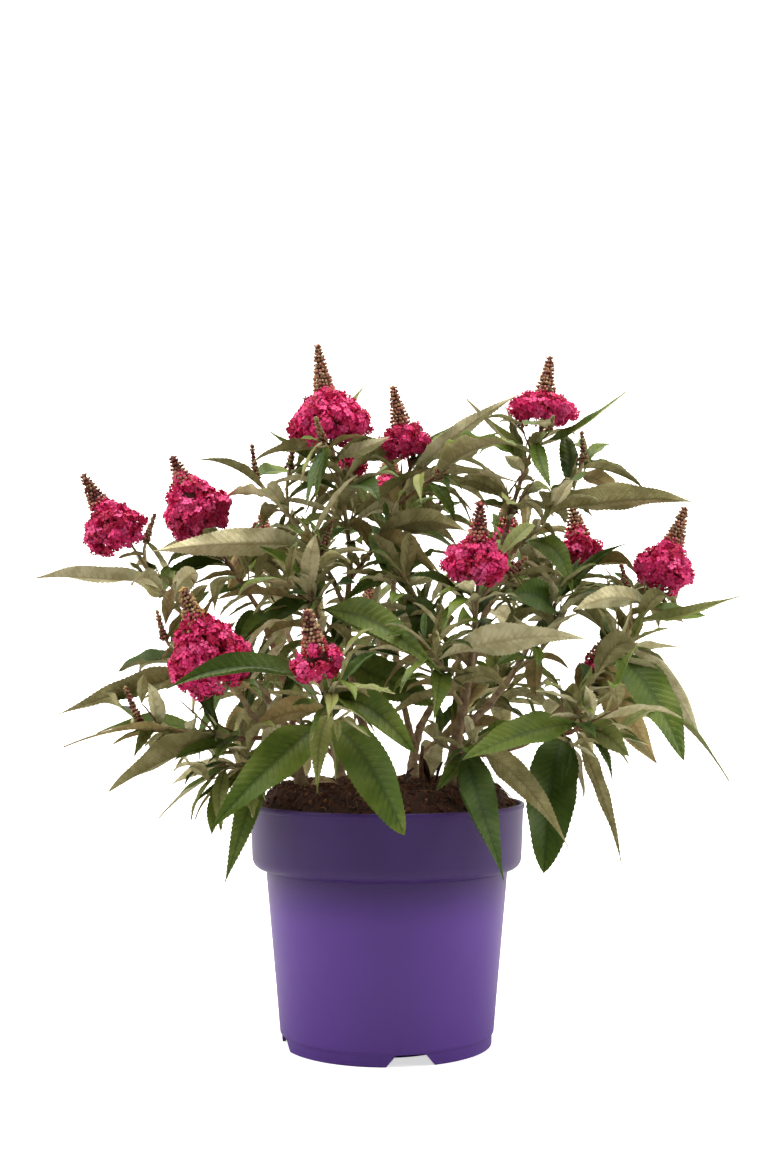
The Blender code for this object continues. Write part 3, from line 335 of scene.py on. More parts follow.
# Colours, linear: base, patch and vein
UPPER_FINISHES = {
    "leaf_green": ((0.074, 0.126, 0.013), (0.142, 0.194, 0.026), (0.03, 0.054, 0.006)),
    # partly painted shade: a darker green, dealt at random, that the leaves lying in the crown's shade
    # are given
    "leaf_deep": ((0.042, 0.08, 0.007), (0.07, 0.116, 0.01), (0.016, 0.032, 0.004)),
    "leaf_blue": ((0.05, 0.098, 0.017), (0.084, 0.14, 0.026), (0.022, 0.042, 0.009)),
    "leaf_young": ((0.165, 0.195, 0.042), (0.24, 0.26, 0.08), (0.075, 0.085, 0.018)),
}
FELT_FINISHES = {
    "felt_olive": ((0.24, 0.22, 0.088), (0.41, 0.375, 0.19), (0.11, 0.084, 0.028)),
    "felt_cream": ((0.7, 0.655, 0.42), (0.44, 0.395, 0.205), (0.3, 0.235, 0.1)),
    "felt_tan": ((0.36, 0.28, 0.118), (0.24, 0.18, 0.066), (0.13, 0.082, 0.028)),
}
PETALS = {
    "petal_pink": (0.8, 0.034, 0.205),
    "petal_light": (0.86, 0.085, 0.3),
    "petal_deep": (0.52, 0.01, 0.08),
    "petal_throat": (0.56, 0.03, 0.09),
}
BUDS = {
    "bud_crimson": (0.52, 0.035, 0.07),
    "bud_rose": (0.58, 0.26, 0.185),
    "bud_brown": (0.38, 0.19, 0.11),
    "bud_tan": (0.6, 0.42, 0.245),
    "bud_gold": (0.56, 0.38, 0.13),
    "bud_maroon": (0.21, 0.055, 0.045),
    "bud_green": (0.22, 0.215, 0.08),
    # painted shade: a near-black core inside the blossom for the shade between florets and knobs, over
    # the stalks that are there
    "calyx": (0.075, 0.022, 0.016),
}

GREY = (0.5, 0.5, 0.5, 1)
BARKS = {
    "bark_tan": ((0.3, 0.215, 0.125), (0.15, 0.092, 0.05)),
    "bark_red": ((0.14, 0.052, 0.034), (0.25, 0.14, 0.085)),
}
TWIG_BARKS = {
    "twig_felt": ((0.37, 0.295, 0.155), (0.2, 0.14, 0.068)),
    "twig_red": ((0.175, 0.075, 0.045), (0.27, 0.17, 0.095)),
}
BARK_STREAKS = {"bark_tan": 120, "bark_red": 90, "twig_felt": 160, "twig_red": 140}
COMPOSTS = {
    "compost_dark": ((0.023, 0.009, 0.005), (0.068, 0.023, 0.01)),
    "compost_rust": ((0.135, 0.042, 0.016), (0.06, 0.02, 0.01)),
    "compost_fibre": ((0.235, 0.11, 0.048), (0.11, 0.045, 0.02)),
}
LITTER_FINISH = {"litter_pale": ((0.44, 0.35, 0.205), (0.3, 0.215, 0.115), (0.18, 0.11, 0.055))}

# Skins: the shader's own values, how much the veins show, size and strength of the patches, then the
# grain: its scale, stretch and coarseness, and the strength and depth of its bump
Skin = namedtuple("Skin", "roughness gloss sheen veins scale amount grain stretch coarse strength depth",
                  defaults=(0, 1, 0, 0, 0))
SKINS = {
    "leaf": (0.5, 0.24, 0, 0.48, 32, 0.8, 620, 1, 0.6, 0.7, 0.0004),
    "felt": (0.92, 0.15, 0.08, 0.45, 75, 0.8, 620, 1, 0.6, 0.7, 0.0007),
    "petal": (0.62, 0.25, 0, 0, 260, 0.55, 1400, 1, 0.4, 0.4, 0.0003),
    "bark": (0.85, 0.5, 0, 0, 120, 0.85, 420, 0.22, 0.25, 0.8, 0.0007),
    "compost": (0.93, 0.5, 0, 0, 170, 0.9, 500, 1, 0.5, 0.9, 0.0012),
    "pot": (0.44, 0.32, 0, 0, 14, 0.5, 900, 1, 0.6, 0.25, 0.0002),
    "floor": (0.9, 0.5, 0, 0, 1.5, 0.4),
}

# Dry leaves on the fill, in millimetres: where each starts, where its tip stands above the fill,
# width and finish
LITTER_ROLL, LITTER_ARCH = 60, 0.22
LITTER = (
    ((-67, -14), (-39, -40, 4), 9.5, "litter_pale"),
    ((8, 10), (2, 4, 15), 7, "compost_dark"),
    ((13, 8), (23, 2, 14), 7, "compost_dark"),
    ((12, 2), (21, -8, 8), 8, "compost_dark"),
    ((36, 2), (29, -4, 24), 6.5, "compost_dark"),
    ((40, 0), (47, -6, 20), 7, "compost_dark"),
)
FILL_SIDES, FILL_RINGS, LOOSE_REACH, FIBRE_REACH = 168, 60, 0.106, 0.1075
BARK_STEP, TWIG_STEP, BARK_DEPTH = 0.0022, 0.0024, 0.00042
FULL_TURN, GOLDEN_TURN, SHARP_ANGLE, SOLID_SIDES = 6.28, 2.39996, 32, 36

# Blade: columns across, from margin to margin, for long, short and small leaves
LONG_COLUMNS = (-1, -0.62, -0.3, -0.06, 0.06, 0.3, 0.62, 1)
ROLLED_COLUMNS = (-1, -0.86, -0.56, -0.27, -0.06, 0.06, 0.27, 0.56, 0.86, 1)
SHORT_COLUMNS = (-1, -0.5, 0, 0.5, 1)
SMALL_COLUMNS = (-1, 0, 1)
SHORT_BLADE_FROM, SMALL_BLADE_FROM = 0.045, 0.02
VEIN_SWEEP = 0.85
BLUNT, WAVE, WAVES, CURL = (1.2, 1.65), (0.06, 0.2), (1.5, 4), (-0.15, 0.2)
FOLD, MORE_FOLD, TWIST = (3, 13), (4, 34), (-38, 38)
SWAY, HOOK = (-0.05, 0.05), (-0.02, 0.06)
ROLLED_IN, ROLLED_UP, RIB = 0.26, 0.1, 0.0007
VEIN_ROWS, PETIOLE_SHARE, SMALL_BARE_SHARE, UPRIGHT = 3, 0.09, 0.3, 0.15
MOST_FORMS, ROLL_SPREAD, UPPER_SHARE = 12000, 1.6, 0.42

# Panicle body and spike: shares of the length, and radius as share of the width
BODY_SHARES = (0, 0.25, 0.55, 0.8, 1)
BODY_WIDTHS = (0.38, 0.5, 0.41, 0.27, 0.13)
USUAL_REACH = (0, 0.6)
SPIKE_SINK = 0.14

# Panicles as the photo has them: where the open part begins and ends as shares of the length, how
# far the foot stands aside of the solid's in millimetres, width against the solid's, spike's tones
PHOTO_BLOOMS = {
    "far_left": (0.17, 0.7, -10, 1, "bud_brown", "bud_maroon", "bud_rose"),
    "upper_left": (0.13, 0.77, -4, 1, "bud_rose", "bud_maroon", "bud_tan"),
    "left_front": (-0.01, 0.73, -10, 1, "bud_gold", "bud_brown", "bud_tan"),
    "centre_front": (0.09, 0.62, -3, 1, "bud_crimson", "bud_maroon", "bud_rose"),
    "front_left": (0.14, 0.6, 0, 1, "bud_rose", "bud_maroon", "bud_tan"),
    "far_right": (0.15, 0.63, 0, 1),
    "top_left": (0.04, 0.56, 0, 1.06),
    "top_centre": (0.17, 0.55, 0, 1),
    "top_right": (0.13, 0.52, 0, 1.2),
}
USUAL_BLOOM = (*USUAL_REACH, 0, 1)
USUAL_TONES = ("bud_rose", "bud_brown", "bud_tan", "bud_brown")
BACK_BLOOM_WIDTH, BACK_BLOOM_LENGTH = 0.62, 0.72
SPIKE_WIDTH = 0.0108
SPIKE_SHARES = (0, 0.14, 0.5, 1)
SPIKE_RADII = (1.05, 0.94, 0.66, 0.3)
BUD_RINGS = ((0.2, 0.25), (0.62, 0.36))
KNOB_RINGS = ((0.14, 0.3), (0.48, 0.45), (0.82, 0.3))
SPARSE_BLOOMS = ("front_left", "back_middle", "left_side")

# Leaves that the photo shows besides those of the solids: shoot, root, tip, width, roll and arch
MORE_LEAVES = (
    ("top_left", (-36, 30, 529), (-18, 40, 560), 8, 0, 0.05),
    ("top_right", (89, 30, 491), (106, 50, 541), 18, 20, 0.1),
    ("centre_left", (-29, 0, 291), (37, -40, 280), 34, 65, 0.1),
    ("far_right", (190, -20, 326), (159, 20, 359), 26, 10, 0.12),
    ("right_back", (184, 30, 377), (103, -30, 370), 34, 10, 0.12),
    ("far_right", (215, -10, 337), (258, 40, 350), 18, 0, 0.12),
    ("right_middle", (125, 0, 333), (126, 10, 285), 17, 0, 0.1),
    ("low_left_foot", (-96, -60, 236), (-150, -95, 205), 10, 0, 0.05),
    ("low_left", (-170, -85, 262), (-215, -100, 252), 12, 10, 0.1),
    ("left_front", (-70, -50, 292), (-112, -60, 290), 16, -20, 0.05),
)

# The crown in the photo, in its own pixels: the outline that only shown leaves and blossom pass,
# and the sky seen through it, each gap as its middle and its half sizes
PHOTO_WIDTH, PHOTO_HEIGHT = 768, 1152
LOWEST_BARE_ROW = 772
CELL, FILL_ROUNDS, FILL_SHARE, FARTHEST_FILL, LONGEST_FILL = 6, 5000, 0.3, 0.1, 0.115
COVER_SHARES = np.linspace(0.15, 0.9, 16)
THIN_LEAF = 0.012
PIXELS_A_METRE = 1187
CROWN_OUTLINE = (
    (168, 650), (172, 618), (155, 596), (105, 584), (62, 574), (92, 558), (165, 548), (236, 530),
    (262, 516), (266, 474), (294, 442), (330, 436), (382, 434), (434, 425), (475, 416), (500, 411),
    (524, 402), (566, 420), (586, 442), (612, 468), (638, 488), (698, 496), (640, 506), (600, 510),
    (600, 545), (640, 556), (690, 588), (738, 592), (700, 602), (684, 612), (682, 626), (646, 640),
    (674, 654), (655, 668), (680, 684), (690, 722), (716, 756), (728, 772), (640, 782), (592, 790),
    (588, 818), (606, 862), (560, 864), (506, 884), (420, 846), (300, 850), (236, 862), (164, 818),
    (190, 802), (118, 787), (138, 770), (130, 754), (72, 742), (122, 728), (94, 712), (116, 696),
    (134, 680), (126, 664),
)
SKY_GAPS = (
    (180, 708, 22, 18), (232, 711, 15, 15), (137, 704, 9, 12), (286, 459, 11, 13),
    (398, 750, 26, 20), (408, 721, 17, 9), (520, 768, 34, 28), (500, 785, 26, 16),
    (575, 648, 36, 18), (557, 455, 12, 26), (518, 434, 13, 12), (505, 480, 14, 18),
    (534, 466, 8, 15), (566, 679, 20, 9), (632, 696, 19, 15), (526, 729, 11, 9), (620, 525, 16, 18),
)

Leaf = namedtuple("Leaf", "root knee tip width roll look", defaults=(None,))
Bloom = namedtuple("Bloom", "base tip width kind")


size_value = partial(bpy.props.FloatProperty, unit="LENGTH")
colour_value = partial(bpy.props.FloatVectorProperty, subtype="COLOR", size=3)


class BushPotSettings(bpy.types.PropertyGroup):
    """Sizes and colours of the pot and its fill."""

    sides: bpy.props.IntProperty(name="Sides", description="Facets round the pot", default=144)
    colour: colour_value(name="Pot colour", description="Colour of the moulded plastic",
            default=(0.112, 0.046, 0.32))
    lip: size_value(name="Lip", description="How far the lip stands out under the rim's top edge",
            default=0.0007)
    fibres: bpy.props.IntProperty(name="Fibres", description="Fibres on the compost", default=1500)
    chips: bpy.props.IntProperty(name="Chips", description="Bark chips on the compost", default=900)


class BushLeafSettings(bpy.types.PropertyGroup):
    """Sizes of the blades."""

    row: size_value(name="Row", description="Distance between rows of the blade's net", default=0.002)
    tooth: size_value(name="Tooth", description="Depth of the teeth along the margin", default=0.00055)
    vein: size_value(name="Vein", description="How far the veins sink into the upper side",
            default=0.0005)
    thickness: size_value(name="Thickness", description="Thickness of the blade", default=0.00035)
    sprigs: bpy.props.FloatProperty(name="Sprigs", description="Share of leaf roots with a side sprig",
            default=0.8, subtype="FACTOR")


class BushBlossomSettings(bpy.types.PropertyGroup):
    """Sizes of the florets and buds."""

    floret: size_value(name="Floret", description="Radius of an open floret", default=0.0038)
    cyme: size_value(name="Cyme", description="Radius of one cluster of florets", default=0.006)
    bud: size_value(name="Bud", description="Length of a knob on the spike", default=0.0034)
    tier: size_value(name="Tier", description="Distance between the spike's whorls", default=0.0031)


class BushStageSettings(bpy.types.PropertyGroup):
    """Floor and lights."""

    floor: colour_value(name="Floor colour", description="Colour of the plain floor",
            default=(0.92, 0.92, 0.92))
    sky: bpy.props.FloatProperty(name="Sky", description="Strength of the even light all round",
            default=0.07)
    key: bpy.props.FloatProperty(name="Key", description="Power of the large soft light", default=76,
            unit="POWER")


def plug(tree, socket, value):
    """Feeds an input from another socket, or gives it a plain value."""
    if isinstance(value, bpy.types.NodeSocket):
        tree.links.new(value, socket)
    else:
        socket.default_value = value


def new_group(name, result, **inputs):
    """An empty shader group with its named sockets: what it takes and what it puts out."""
    group = bpy.data.node_groups.new(name, "ShaderNodeTree")
    for label, value in inputs.items():
        kind = "NodeSocketColor" if isinstance(value, tuple) else "NodeSocketFloat"
        group.interface.new_socket(label, in_out="INPUT", socket_type=kind).default_value = value
    kind = "NodeSocketColor" if result == "Colour" else "NodeSocketFloat"
    group.interface.new_socket(result, in_out="OUTPUT", socket_type=kind)
    start, end = group.nodes.new("NodeGroupInput"), group.nodes.new("NodeGroupOutput")
    return group, start.outputs, end.inputs[0]


def node(tree, kind, *values, **named):
    """A node with its inputs by place or by name, and its settings by name."""
    made = tree.nodes.new("ShaderNode" + kind)
    for label, value in named.items():
        if label in made.inputs:
            plug(tree, made.inputs[label], value)
        else:
            setattr(made, label, value)
    for socket, value in zip(made.inputs, values):
        plug(tree, socket, value)
    return made


def colour_mix(tree, share, first, second):
    """Mixes two colours by a share; each may be a socket or a plain colour."""
    mix = node(tree, "Mix", share, data_type="RGBA")
    plug(tree, mix.inputs[6], first)
    plug(tree, mix.inputs[7], second)
    return mix.outputs[2]


def ramp(tree, value, low, high):
    """Smooth step from 0 at low to 1 at high."""
    return node(tree, "MapRange", value, low, high, interpolation_type="SMOOTHSTEP").outputs[0]


@cache
def mottle_group():
    """Soft patches of a second colour."""
    group, given, result = new_group("Mottle", "Colour", Base=GREY, Patch=GREY, Scale=50, Amount=0.5)
    place = node(group, "TexCoord").outputs["Object"]
    cloud = node(group, "TexNoise", Vector=place, Scale=given["Scale"], Detail=3, Roughness=0.6)
    spread = ramp(group, cloud.outputs["Fac"], 0.36, 0.66)
    share = node(group, "Math", spread, given["Amount"], operation="MULTIPLY").outputs[0]
    plug(group, result, colour_mix(group, share, given["Base"], given["Patch"]))
    return group


@cache
def veins_group():
    """Colours the midrib and the side veins, which the mesh marks as 1."""
    group, given, result = new_group("Veins", "Colour", Blade=GREY, Vein=GREY, Amount=0.6)
    mark = node(group, "Attribute", attribute_name="vein").outputs["Fac"]
    sharp = ramp(group, mark, 0.66, 0.98)
    share = node(group, "Math", sharp, given["Amount"], operation="MULTIPLY").outputs[0]
    plug(group, result, colour_mix(group, share, given["Blade"], given["Vein"]))
    return group


@cache
def grain_group():
    """Height of a fine irregular grain, stretched along Z by a share."""
    group, given, result = new_group("Grain", "Height", Scale=400, Stretch=1, Coarse=0.5)
    place = node(group, "TexCoord").outputs["Object"]
    sizes = node(group, "CombineXYZ", X=1, Y=1, Z=given["Stretch"]).outputs[0]
    spread = node(group, "VectorMath", place, sizes, operation="MULTIPLY").outputs[0]
    fine = node(group, "TexNoise", Vector=spread, Scale=given["Scale"], Detail=4, Roughness=0.65)
    cells = node(group, "TexVoronoi", Vector=spread, Scale=given["Scale"])
    blend = node(group, "Mix", given["Coarse"])
    plug(group, blend.inputs[2], fine.outputs["Fac"])
    plug(group, blend.inputs[3], cells.outputs["Distance"])
    plug(group, result, blend.outputs[0])
    return group


def place_group(material, group, **values):
    """One effect group in a material, with its own values; gives what it puts out."""
    placed = material.node_tree.nodes.new("ShaderNodeGroup")
    placed.node_tree = group
    for label, value in values.items():
        value = (*value, 1) if isinstance(value, tuple) else value
        plug(material.node_tree, placed.inputs[label], value)
    return placed.outputs[0]


def new_material(name, skin):
    """A material with the plain values of its skin set on the shader itself."""
    material = bpy.data.materials.new(name)
    material.use_nodes = True
    feed(material, "Roughness", skin.roughness)
    feed(material, "Specular IOR Level", skin.gloss)
    feed(material, "Sheen Weight", skin.sheen)
    return material


def feed(material, label, value):
    plug(material.node_tree, material.node_tree.nodes["Principled BSDF"].inputs[label], value)


def patches(material, skin, base, patch, scale=None):
    return place_group(material, mottle_group(), Base=base, Patch=patch,
            Scale=scale or skin.scale, Amount=skin.amount)


def add_grain(material, skin):
    height = place_group(material, grain_group(), Scale=skin.grain, Stretch=skin.stretch,
            Coarse=skin.coarse)
    bump = node(material.node_tree, "Bump", Strength=skin.strength, Distance=skin.depth, Height=height)
    feed(material, "Normal", bump.outputs["Normal"])


def finishes(kind, colours):
    """Materials of one kind of skin by name: patches, veins where there is a third colour, grain."""
    skin, made = Skin(*SKINS[kind]), {}
    for name, (base, patch, *vein) in colours.items():
        made[name] = material = new_material(name, skin)
        streaks = BARK_STREAKS.get(name)
        tone = patches(material, skin, base, patch, streaks)
        if vein:
            tone = place_group(material, veins_group(), Blade=tone, Vein=vein[0], Amount=skin.veins)
        feed(material, "Base Color", tone)
        add_grain(material, skin)
    return made


def shaded(colours, share):
    """Each colour with a darker one of its own for the patches."""
    return {name: (colour, tuple(share * part for part in colour)) for name, colour in colours.items()}


def pot_material(colour):
    """Moulded plastic, faintly cloudy, with painted shade on the band and just under it, for the shadow
    of the crown and the rim.
    """
    skin = Skin(*SKINS["pot"])
    material = new_material("pot_plastic", skin)
    tree, tones = material.node_tree, []
    for share in (1, BAND_PAINTED_SHADE):
        tones.append(patches(material, skin, *(tuple(share * depth * part for part in colour)
                for depth in (1, 0.9))))
    split = node(tree, "SeparateXYZ", node(tree, "TexCoord").outputs["Object"])
    band_foot = POT_HEIGHT - BAND_HEIGHT
    # painted shade: darkest on the band, fading out down the body below it
    painted_shade_share = ramp(tree, split.outputs["Z"], band_foot - SHADE_RUN, band_foot + 0.002)
    feed(material, "Base Color", colour_mix(tree, painted_shade_share, *tones))
    add_grain(material, skin)
    return material


class Stock:
    """Points, faces, finish numbers and vein marks, gathered in arrays for one large mesh."""

    def __init__(self, skins):
        self.skins, self.finishes = skins, list(skins)
        self.points, self.corners, self.sizes, self.slots, self.marks = [], [], [], [], []
        self.count = 0

    def add(self, points, faces, finish, marks=None):
        """Adds points and faces; each array in faces holds faces of one size."""
        slot = self.finishes.index(finish)
        for rows in faces:
            self.corners.append((rows + self.count).ravel())
            self.sizes.append(np.full(len(rows), rows.shape[1]))
            self.slots.append(np.full(len(rows), slot))
        self.points.append(points)
        self.marks.append(np.zeros(len(points)) if marks is None else marks)
        self.count += len(points)

    def build(self, name):
        mesh = bpy.data.meshes.new(name)
        points, corners = np.concatenate(self.points), np.concatenate(self.corners)
        sizes = np.concatenate(self.sizes)
        mesh.vertices.add(len(points))
        mesh.vertices.foreach_set("co", points.astype(np.float32).ravel())
        mesh.loops.add(len(corners))
        mesh.loops.foreach_set("vertex_index", corners.astype(np.int32))
        mesh.polygons.add(len(sizes))
        starts = np.concatenate(([0], np.cumsum(sizes)[:-1]))
        mesh.polygons.foreach_set("loop_start", starts.astype(np.int32))
        mesh.polygons.foreach_set("material_index", np.concatenate(self.slots).astype(np.int32))
        marks = mesh.attributes.new("vein", "FLOAT", "POINT")
        marks.data.foreach_set("value", np.concatenate(self.marks).astype(np.float32))
        mesh.update(calc_edges=True)
        mesh.shade_smooth()
        for material in self.skins.values():
            mesh.materials.append(material)
        return add_object(name, mesh)


def add_object(name, data):
    made = bpy.data.objects.new(name, data)
    bpy.context.scene.collection.objects.link(made)
    return made


def add_plain(name, points, faces):
    mesh = bpy.data.meshes.new(name)
    mesh.from_pydata(points, [], faces)
    return add_object(name, mesh)


def hand_over(piece, slot, *nodes):
    """Lets a piece ride on the part's one body and stand for the nodes that it replaces."""
    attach(piece, "root")
    if nodes:
        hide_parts(*nodes)


def at(place):
    """A place of the tables, which are in millimetres."""
    return Vector([part / 1000 for part in place])


def along(start, bend, end, t):
    """Point on the smooth bend from start to end."""
    return (1 - t) ** 2 * start + 2 * t * (1 - t) * bend + t * t * end


def heading(start, bend, end, t):
    way = (1 - t) * (bend - start) + t * (end - bend)
    return way.normalized()


def arched(start, tip, arch):
    """The knee of a leaf's midrib that arches by a share of its length."""
    return start.lerp(tip, KNEE_SHARE) + UP * (arch * (tip - start).length)


def aside(way, angle):
    """A level heading across the way, turned about it."""
    return Matrix.Rotation(angle, 3, way) @ way.orthogonal().normalized()


def circle(radius, sides):
    turns = [2 * pi * k / sides for k in range(sides)]
    return [(radius * cos(turn), radius * sin(turn)) for turn in turns]


def walls(rings, sides, first=0):
    """Quads between rings of points that follow one another from the first on."""
    return [(low + k, low + (k + 1) % sides, low + sides + (k + 1) % sides, low + sides + k)
            for low in range(first, first + (rings - 1) * sides, sides) for k in range(sides)]


def closed(rings, sides):
    """Faces of a form that runs from one point over rings of points to one more point."""
    last, pairs = 1 + (rings - 1) * sides, [(k, (k + 1) % sides) for k in range(sides)]
    return ([(0, 1 + n, 1 + k) for k, n in pairs] + walls(rings, sides, 1)
            + [(last + k, last + n, last + sides) for k, n in pairs])


@cache
def run_faces(rings, sides):
    """Quads between rings of points, and the fans of the two end points that follow them."""
    end, last = rings * sides, (rings - 1) * sides
    pairs = [(k, (k + 1) % sides) for k in range(sides)]
    fans = [(n, k, end) for k, n in pairs] + [(last + k, last + n, end + 1) for k, n in pairs]
    return np.array(walls(rings, sides)), np.array(fans)


class Limb:
    """A tapering round limb along one smooth bend, its foot cut along a plane."""

    def __init__(self, start, bend, end, foot_radius, tip_radius, cut, rings):
        self.start, self.bend, self.end = start, bend, end
        self.foot_radius, self.tip_radius = foot_radius, tip_radius
        self.cut, self.rings = cut, rings
        self.points, self.faces = [], []

    def point(self, t):
        """Point on the straight run between two rings, so that it stays inside the limb."""
        runs = self.rings - 1
        i = min(int(t * runs), runs - 1)
        near = along(self.start, self.bend, self.end, i / runs)
        far = along(self.start, self.bend, self.end, (i + 1) / runs)
        return near.lerp(far, t * runs - i)

    def heading(self, t):
        return heading(self.start, self.bend, self.end, t)

    def radius(self, t):
        return self.foot_radius + (self.tip_radius - self.foot_radius) * t

    def run(self):
        return (self.bend - self.start).length + (self.end - self.bend).length


def tube(limb, sides, flare=1):
    """Points and faces of a limb with flat ends."""
    rings = limb.rings
    way = limb.heading(0)
    side = way.orthogonal().normalized()
    points = []
    for i in range(rings):
        t = i / (rings - 1)
        new_way = limb.heading(t)
        side = (side - new_way * side.dot(new_way)).normalized()
        over = new_way.cross(side)
        radius = limb.radius(t) * (flare if i == 0 else 1)
        for x, y in circle(1, sides):
            spot = limb.point(t) + radius * (x * side + y * over)
            if i == 0 and limb.cut is not None:
                slant = (limb.start - spot).dot(limb.cut) / new_way.dot(limb.cut)
                spot = spot + new_way * slant
            points.append(spot)
    foot, top = range(sides - 1, -1, -1), range((rings - 1) * sides, rings * sides)
    return points, [*walls(rings, sides), tuple(foot), tuple(top)]


def seat_on(parent, t, bend):
    """Foot point and cut plane of a limb that leaves its parent's tip or a facet of its side."""
    axis_point, way = parent.point(t), parent.heading(t)
    if t >= 1:
        return axis_point + way * GAP, way
    out = bend - axis_point
    out = (out - way * out.dot(way)).normalized()
    skin = BVHTree.FromPolygons([tuple(p) for p in parent.points], parent.faces)
    spot, facet, _, _ = skin.ray_cast(axis_point, out)
    if facet.dot(out) < 0:
        facet = -facet
    return spot + facet * GAP, facet


def grow_limbs():
    """Every limb's form, stems first, so that a bough finds its parent's side."""
    limbs = {}
    for name, (parent, place, bend, tip, *radii) in LIMBS.items():
        bend, tip = at(bend), at(tip)
        if parent == "compost":
            start, cut = Vector((*at(place), COMPOST_TOP + GAP)), UP
            sides, rings, flare = STEM_SIDES, STEM_RINGS, FLARE
        else:
            start, cut = seat_on(limbs[parent], place, bend)
            sides, rings, flare = BOUGH_SIDES, BOUGH_RINGS, 1
        limb = Limb(start, bend, tip, *(radius / 1000 for radius in radii), cut, rings)
        limb.points, limb.faces = tube(limb, sides, flare)
        limbs[name] = limb
    return limbs


def leaf_form(root, knee, tip, width, roll, grow=0):
    """A folded blade on an arching midrib: flat above, with a keel below."""
    length = (knee - root).length + (tip - knee).length
    flat = Vector((tip.x - root.x, tip.y - root.y, 0))
    if flat.length < UPRIGHT * length:
        flat = Vector((root.x, root.y, 0)) + flat
    across = flat.cross(UP).normalized()
    outline = LONG_BLADE if length >= LONG_LEAF else SHORT_BLADE
    stations = [(0, PETIOLE_HALF_WIDTH)] + [(t, width * share + grow) for t, share in outline]
    points = []
    for t, half in stations:
        way = heading(root, knee, tip, t)
        level = (across - way * across.dot(way)).normalized()
        edge = Matrix.Rotation(radians(roll) * min(1, t * 3), 3, way) @ level
        below = way.cross(edge).normalized()
        spot = along(root, knee, tip, t)
        keel = (PETIOLE_KEEL if t == 0 else LEAF_KEEL) + grow
        left, right = spot - edge * half - below * grow, spot + edge * half - below * grow
        points += [left, right, spot + below * keel]
    end = len(points)
    points.append(tip + (tip - knee).normalized() * grow)
    cone = [(end - 3 + k, end, end - 3 + (k + 1) % 3) for k in range(3)]
    return points, [(0, 1, 2), *walls(len(stations), 3), *cone]


def panicle_form(base, tip, width, kind):
    """A cone of open florets under a slim spike of buds, a cluster of florets, or a bud."""
    length, way = (tip - base).length, (tip - base).normalized()
    side = way.orthogonal().normalized()
    over = way.cross(side)
    sides, shape = PANICLE_FORMS[kind]
    if kind == "panicle":
        slim = min(0.5, SPIKE_RADIUS / width)
        shape = shape + ((SPIKE_FOOT, slim), (SPIKE_NECK, slim * SPIKE_NECK_WIDTH))
    points = [base - way * BLOOM_SINK]
    for t, share in shape:
        for x, y in circle(1, sides):
            points.append(base + way * (t * length) + (x * side + y * over) * (width * share))
    return points + [tip], closed(len(shape), sides)


class Space:
    """What is taken already: every form placed so far, with its corner box and its owner."""

    def __init__(self):
        self.owners, self.trees, self.firm = [], [], 0
        self.low, self.high = np.empty((MOST_FORMS, 3)), np.empty((MOST_FORMS, 3))

    def add(self, owner, points, faces):
        corners, count = np.array([tuple(p) for p in points]), len(self.owners)
        self.low[count], self.high[count] = corners.min(axis=0), corners.max(axis=0)
        self.owners.append(owner)
        self.trees.append(BVHTree.FromPolygons(corners.tolist(), faces))

    def met(self, points, faces, count=None):
        """Owners of the forms, all or the first few, that a new form would cross."""
        corners, count = np.array([tuple(p) for p in points]), count or len(self.owners)
        near = (self.low[:count] <= corners.max(axis=0)) & (self.high[:count] >= corners.min(axis=0))
        hits = np.flatnonzero(near.all(axis=1))
        if not len(hits):
            return
        tree = BVHTree.FromPolygons(corners.tolist(), faces)
        for hit in hits:
            if tree.overlap(self.trees[hit]):
                yield self.owners[hit]

    def is_free(self, form, skip_owner=None):
        return not any(owner != skip_owner for owner in self.met(*form))


def in_crown(spot):
    spread = spot - CROWN_CENTRE
    reach = sum((spread[i] / CROWN_REACH[i]) ** 2 for i in range(3))
    return reach <= 1 and spot.z >= LOWEST_LEAF


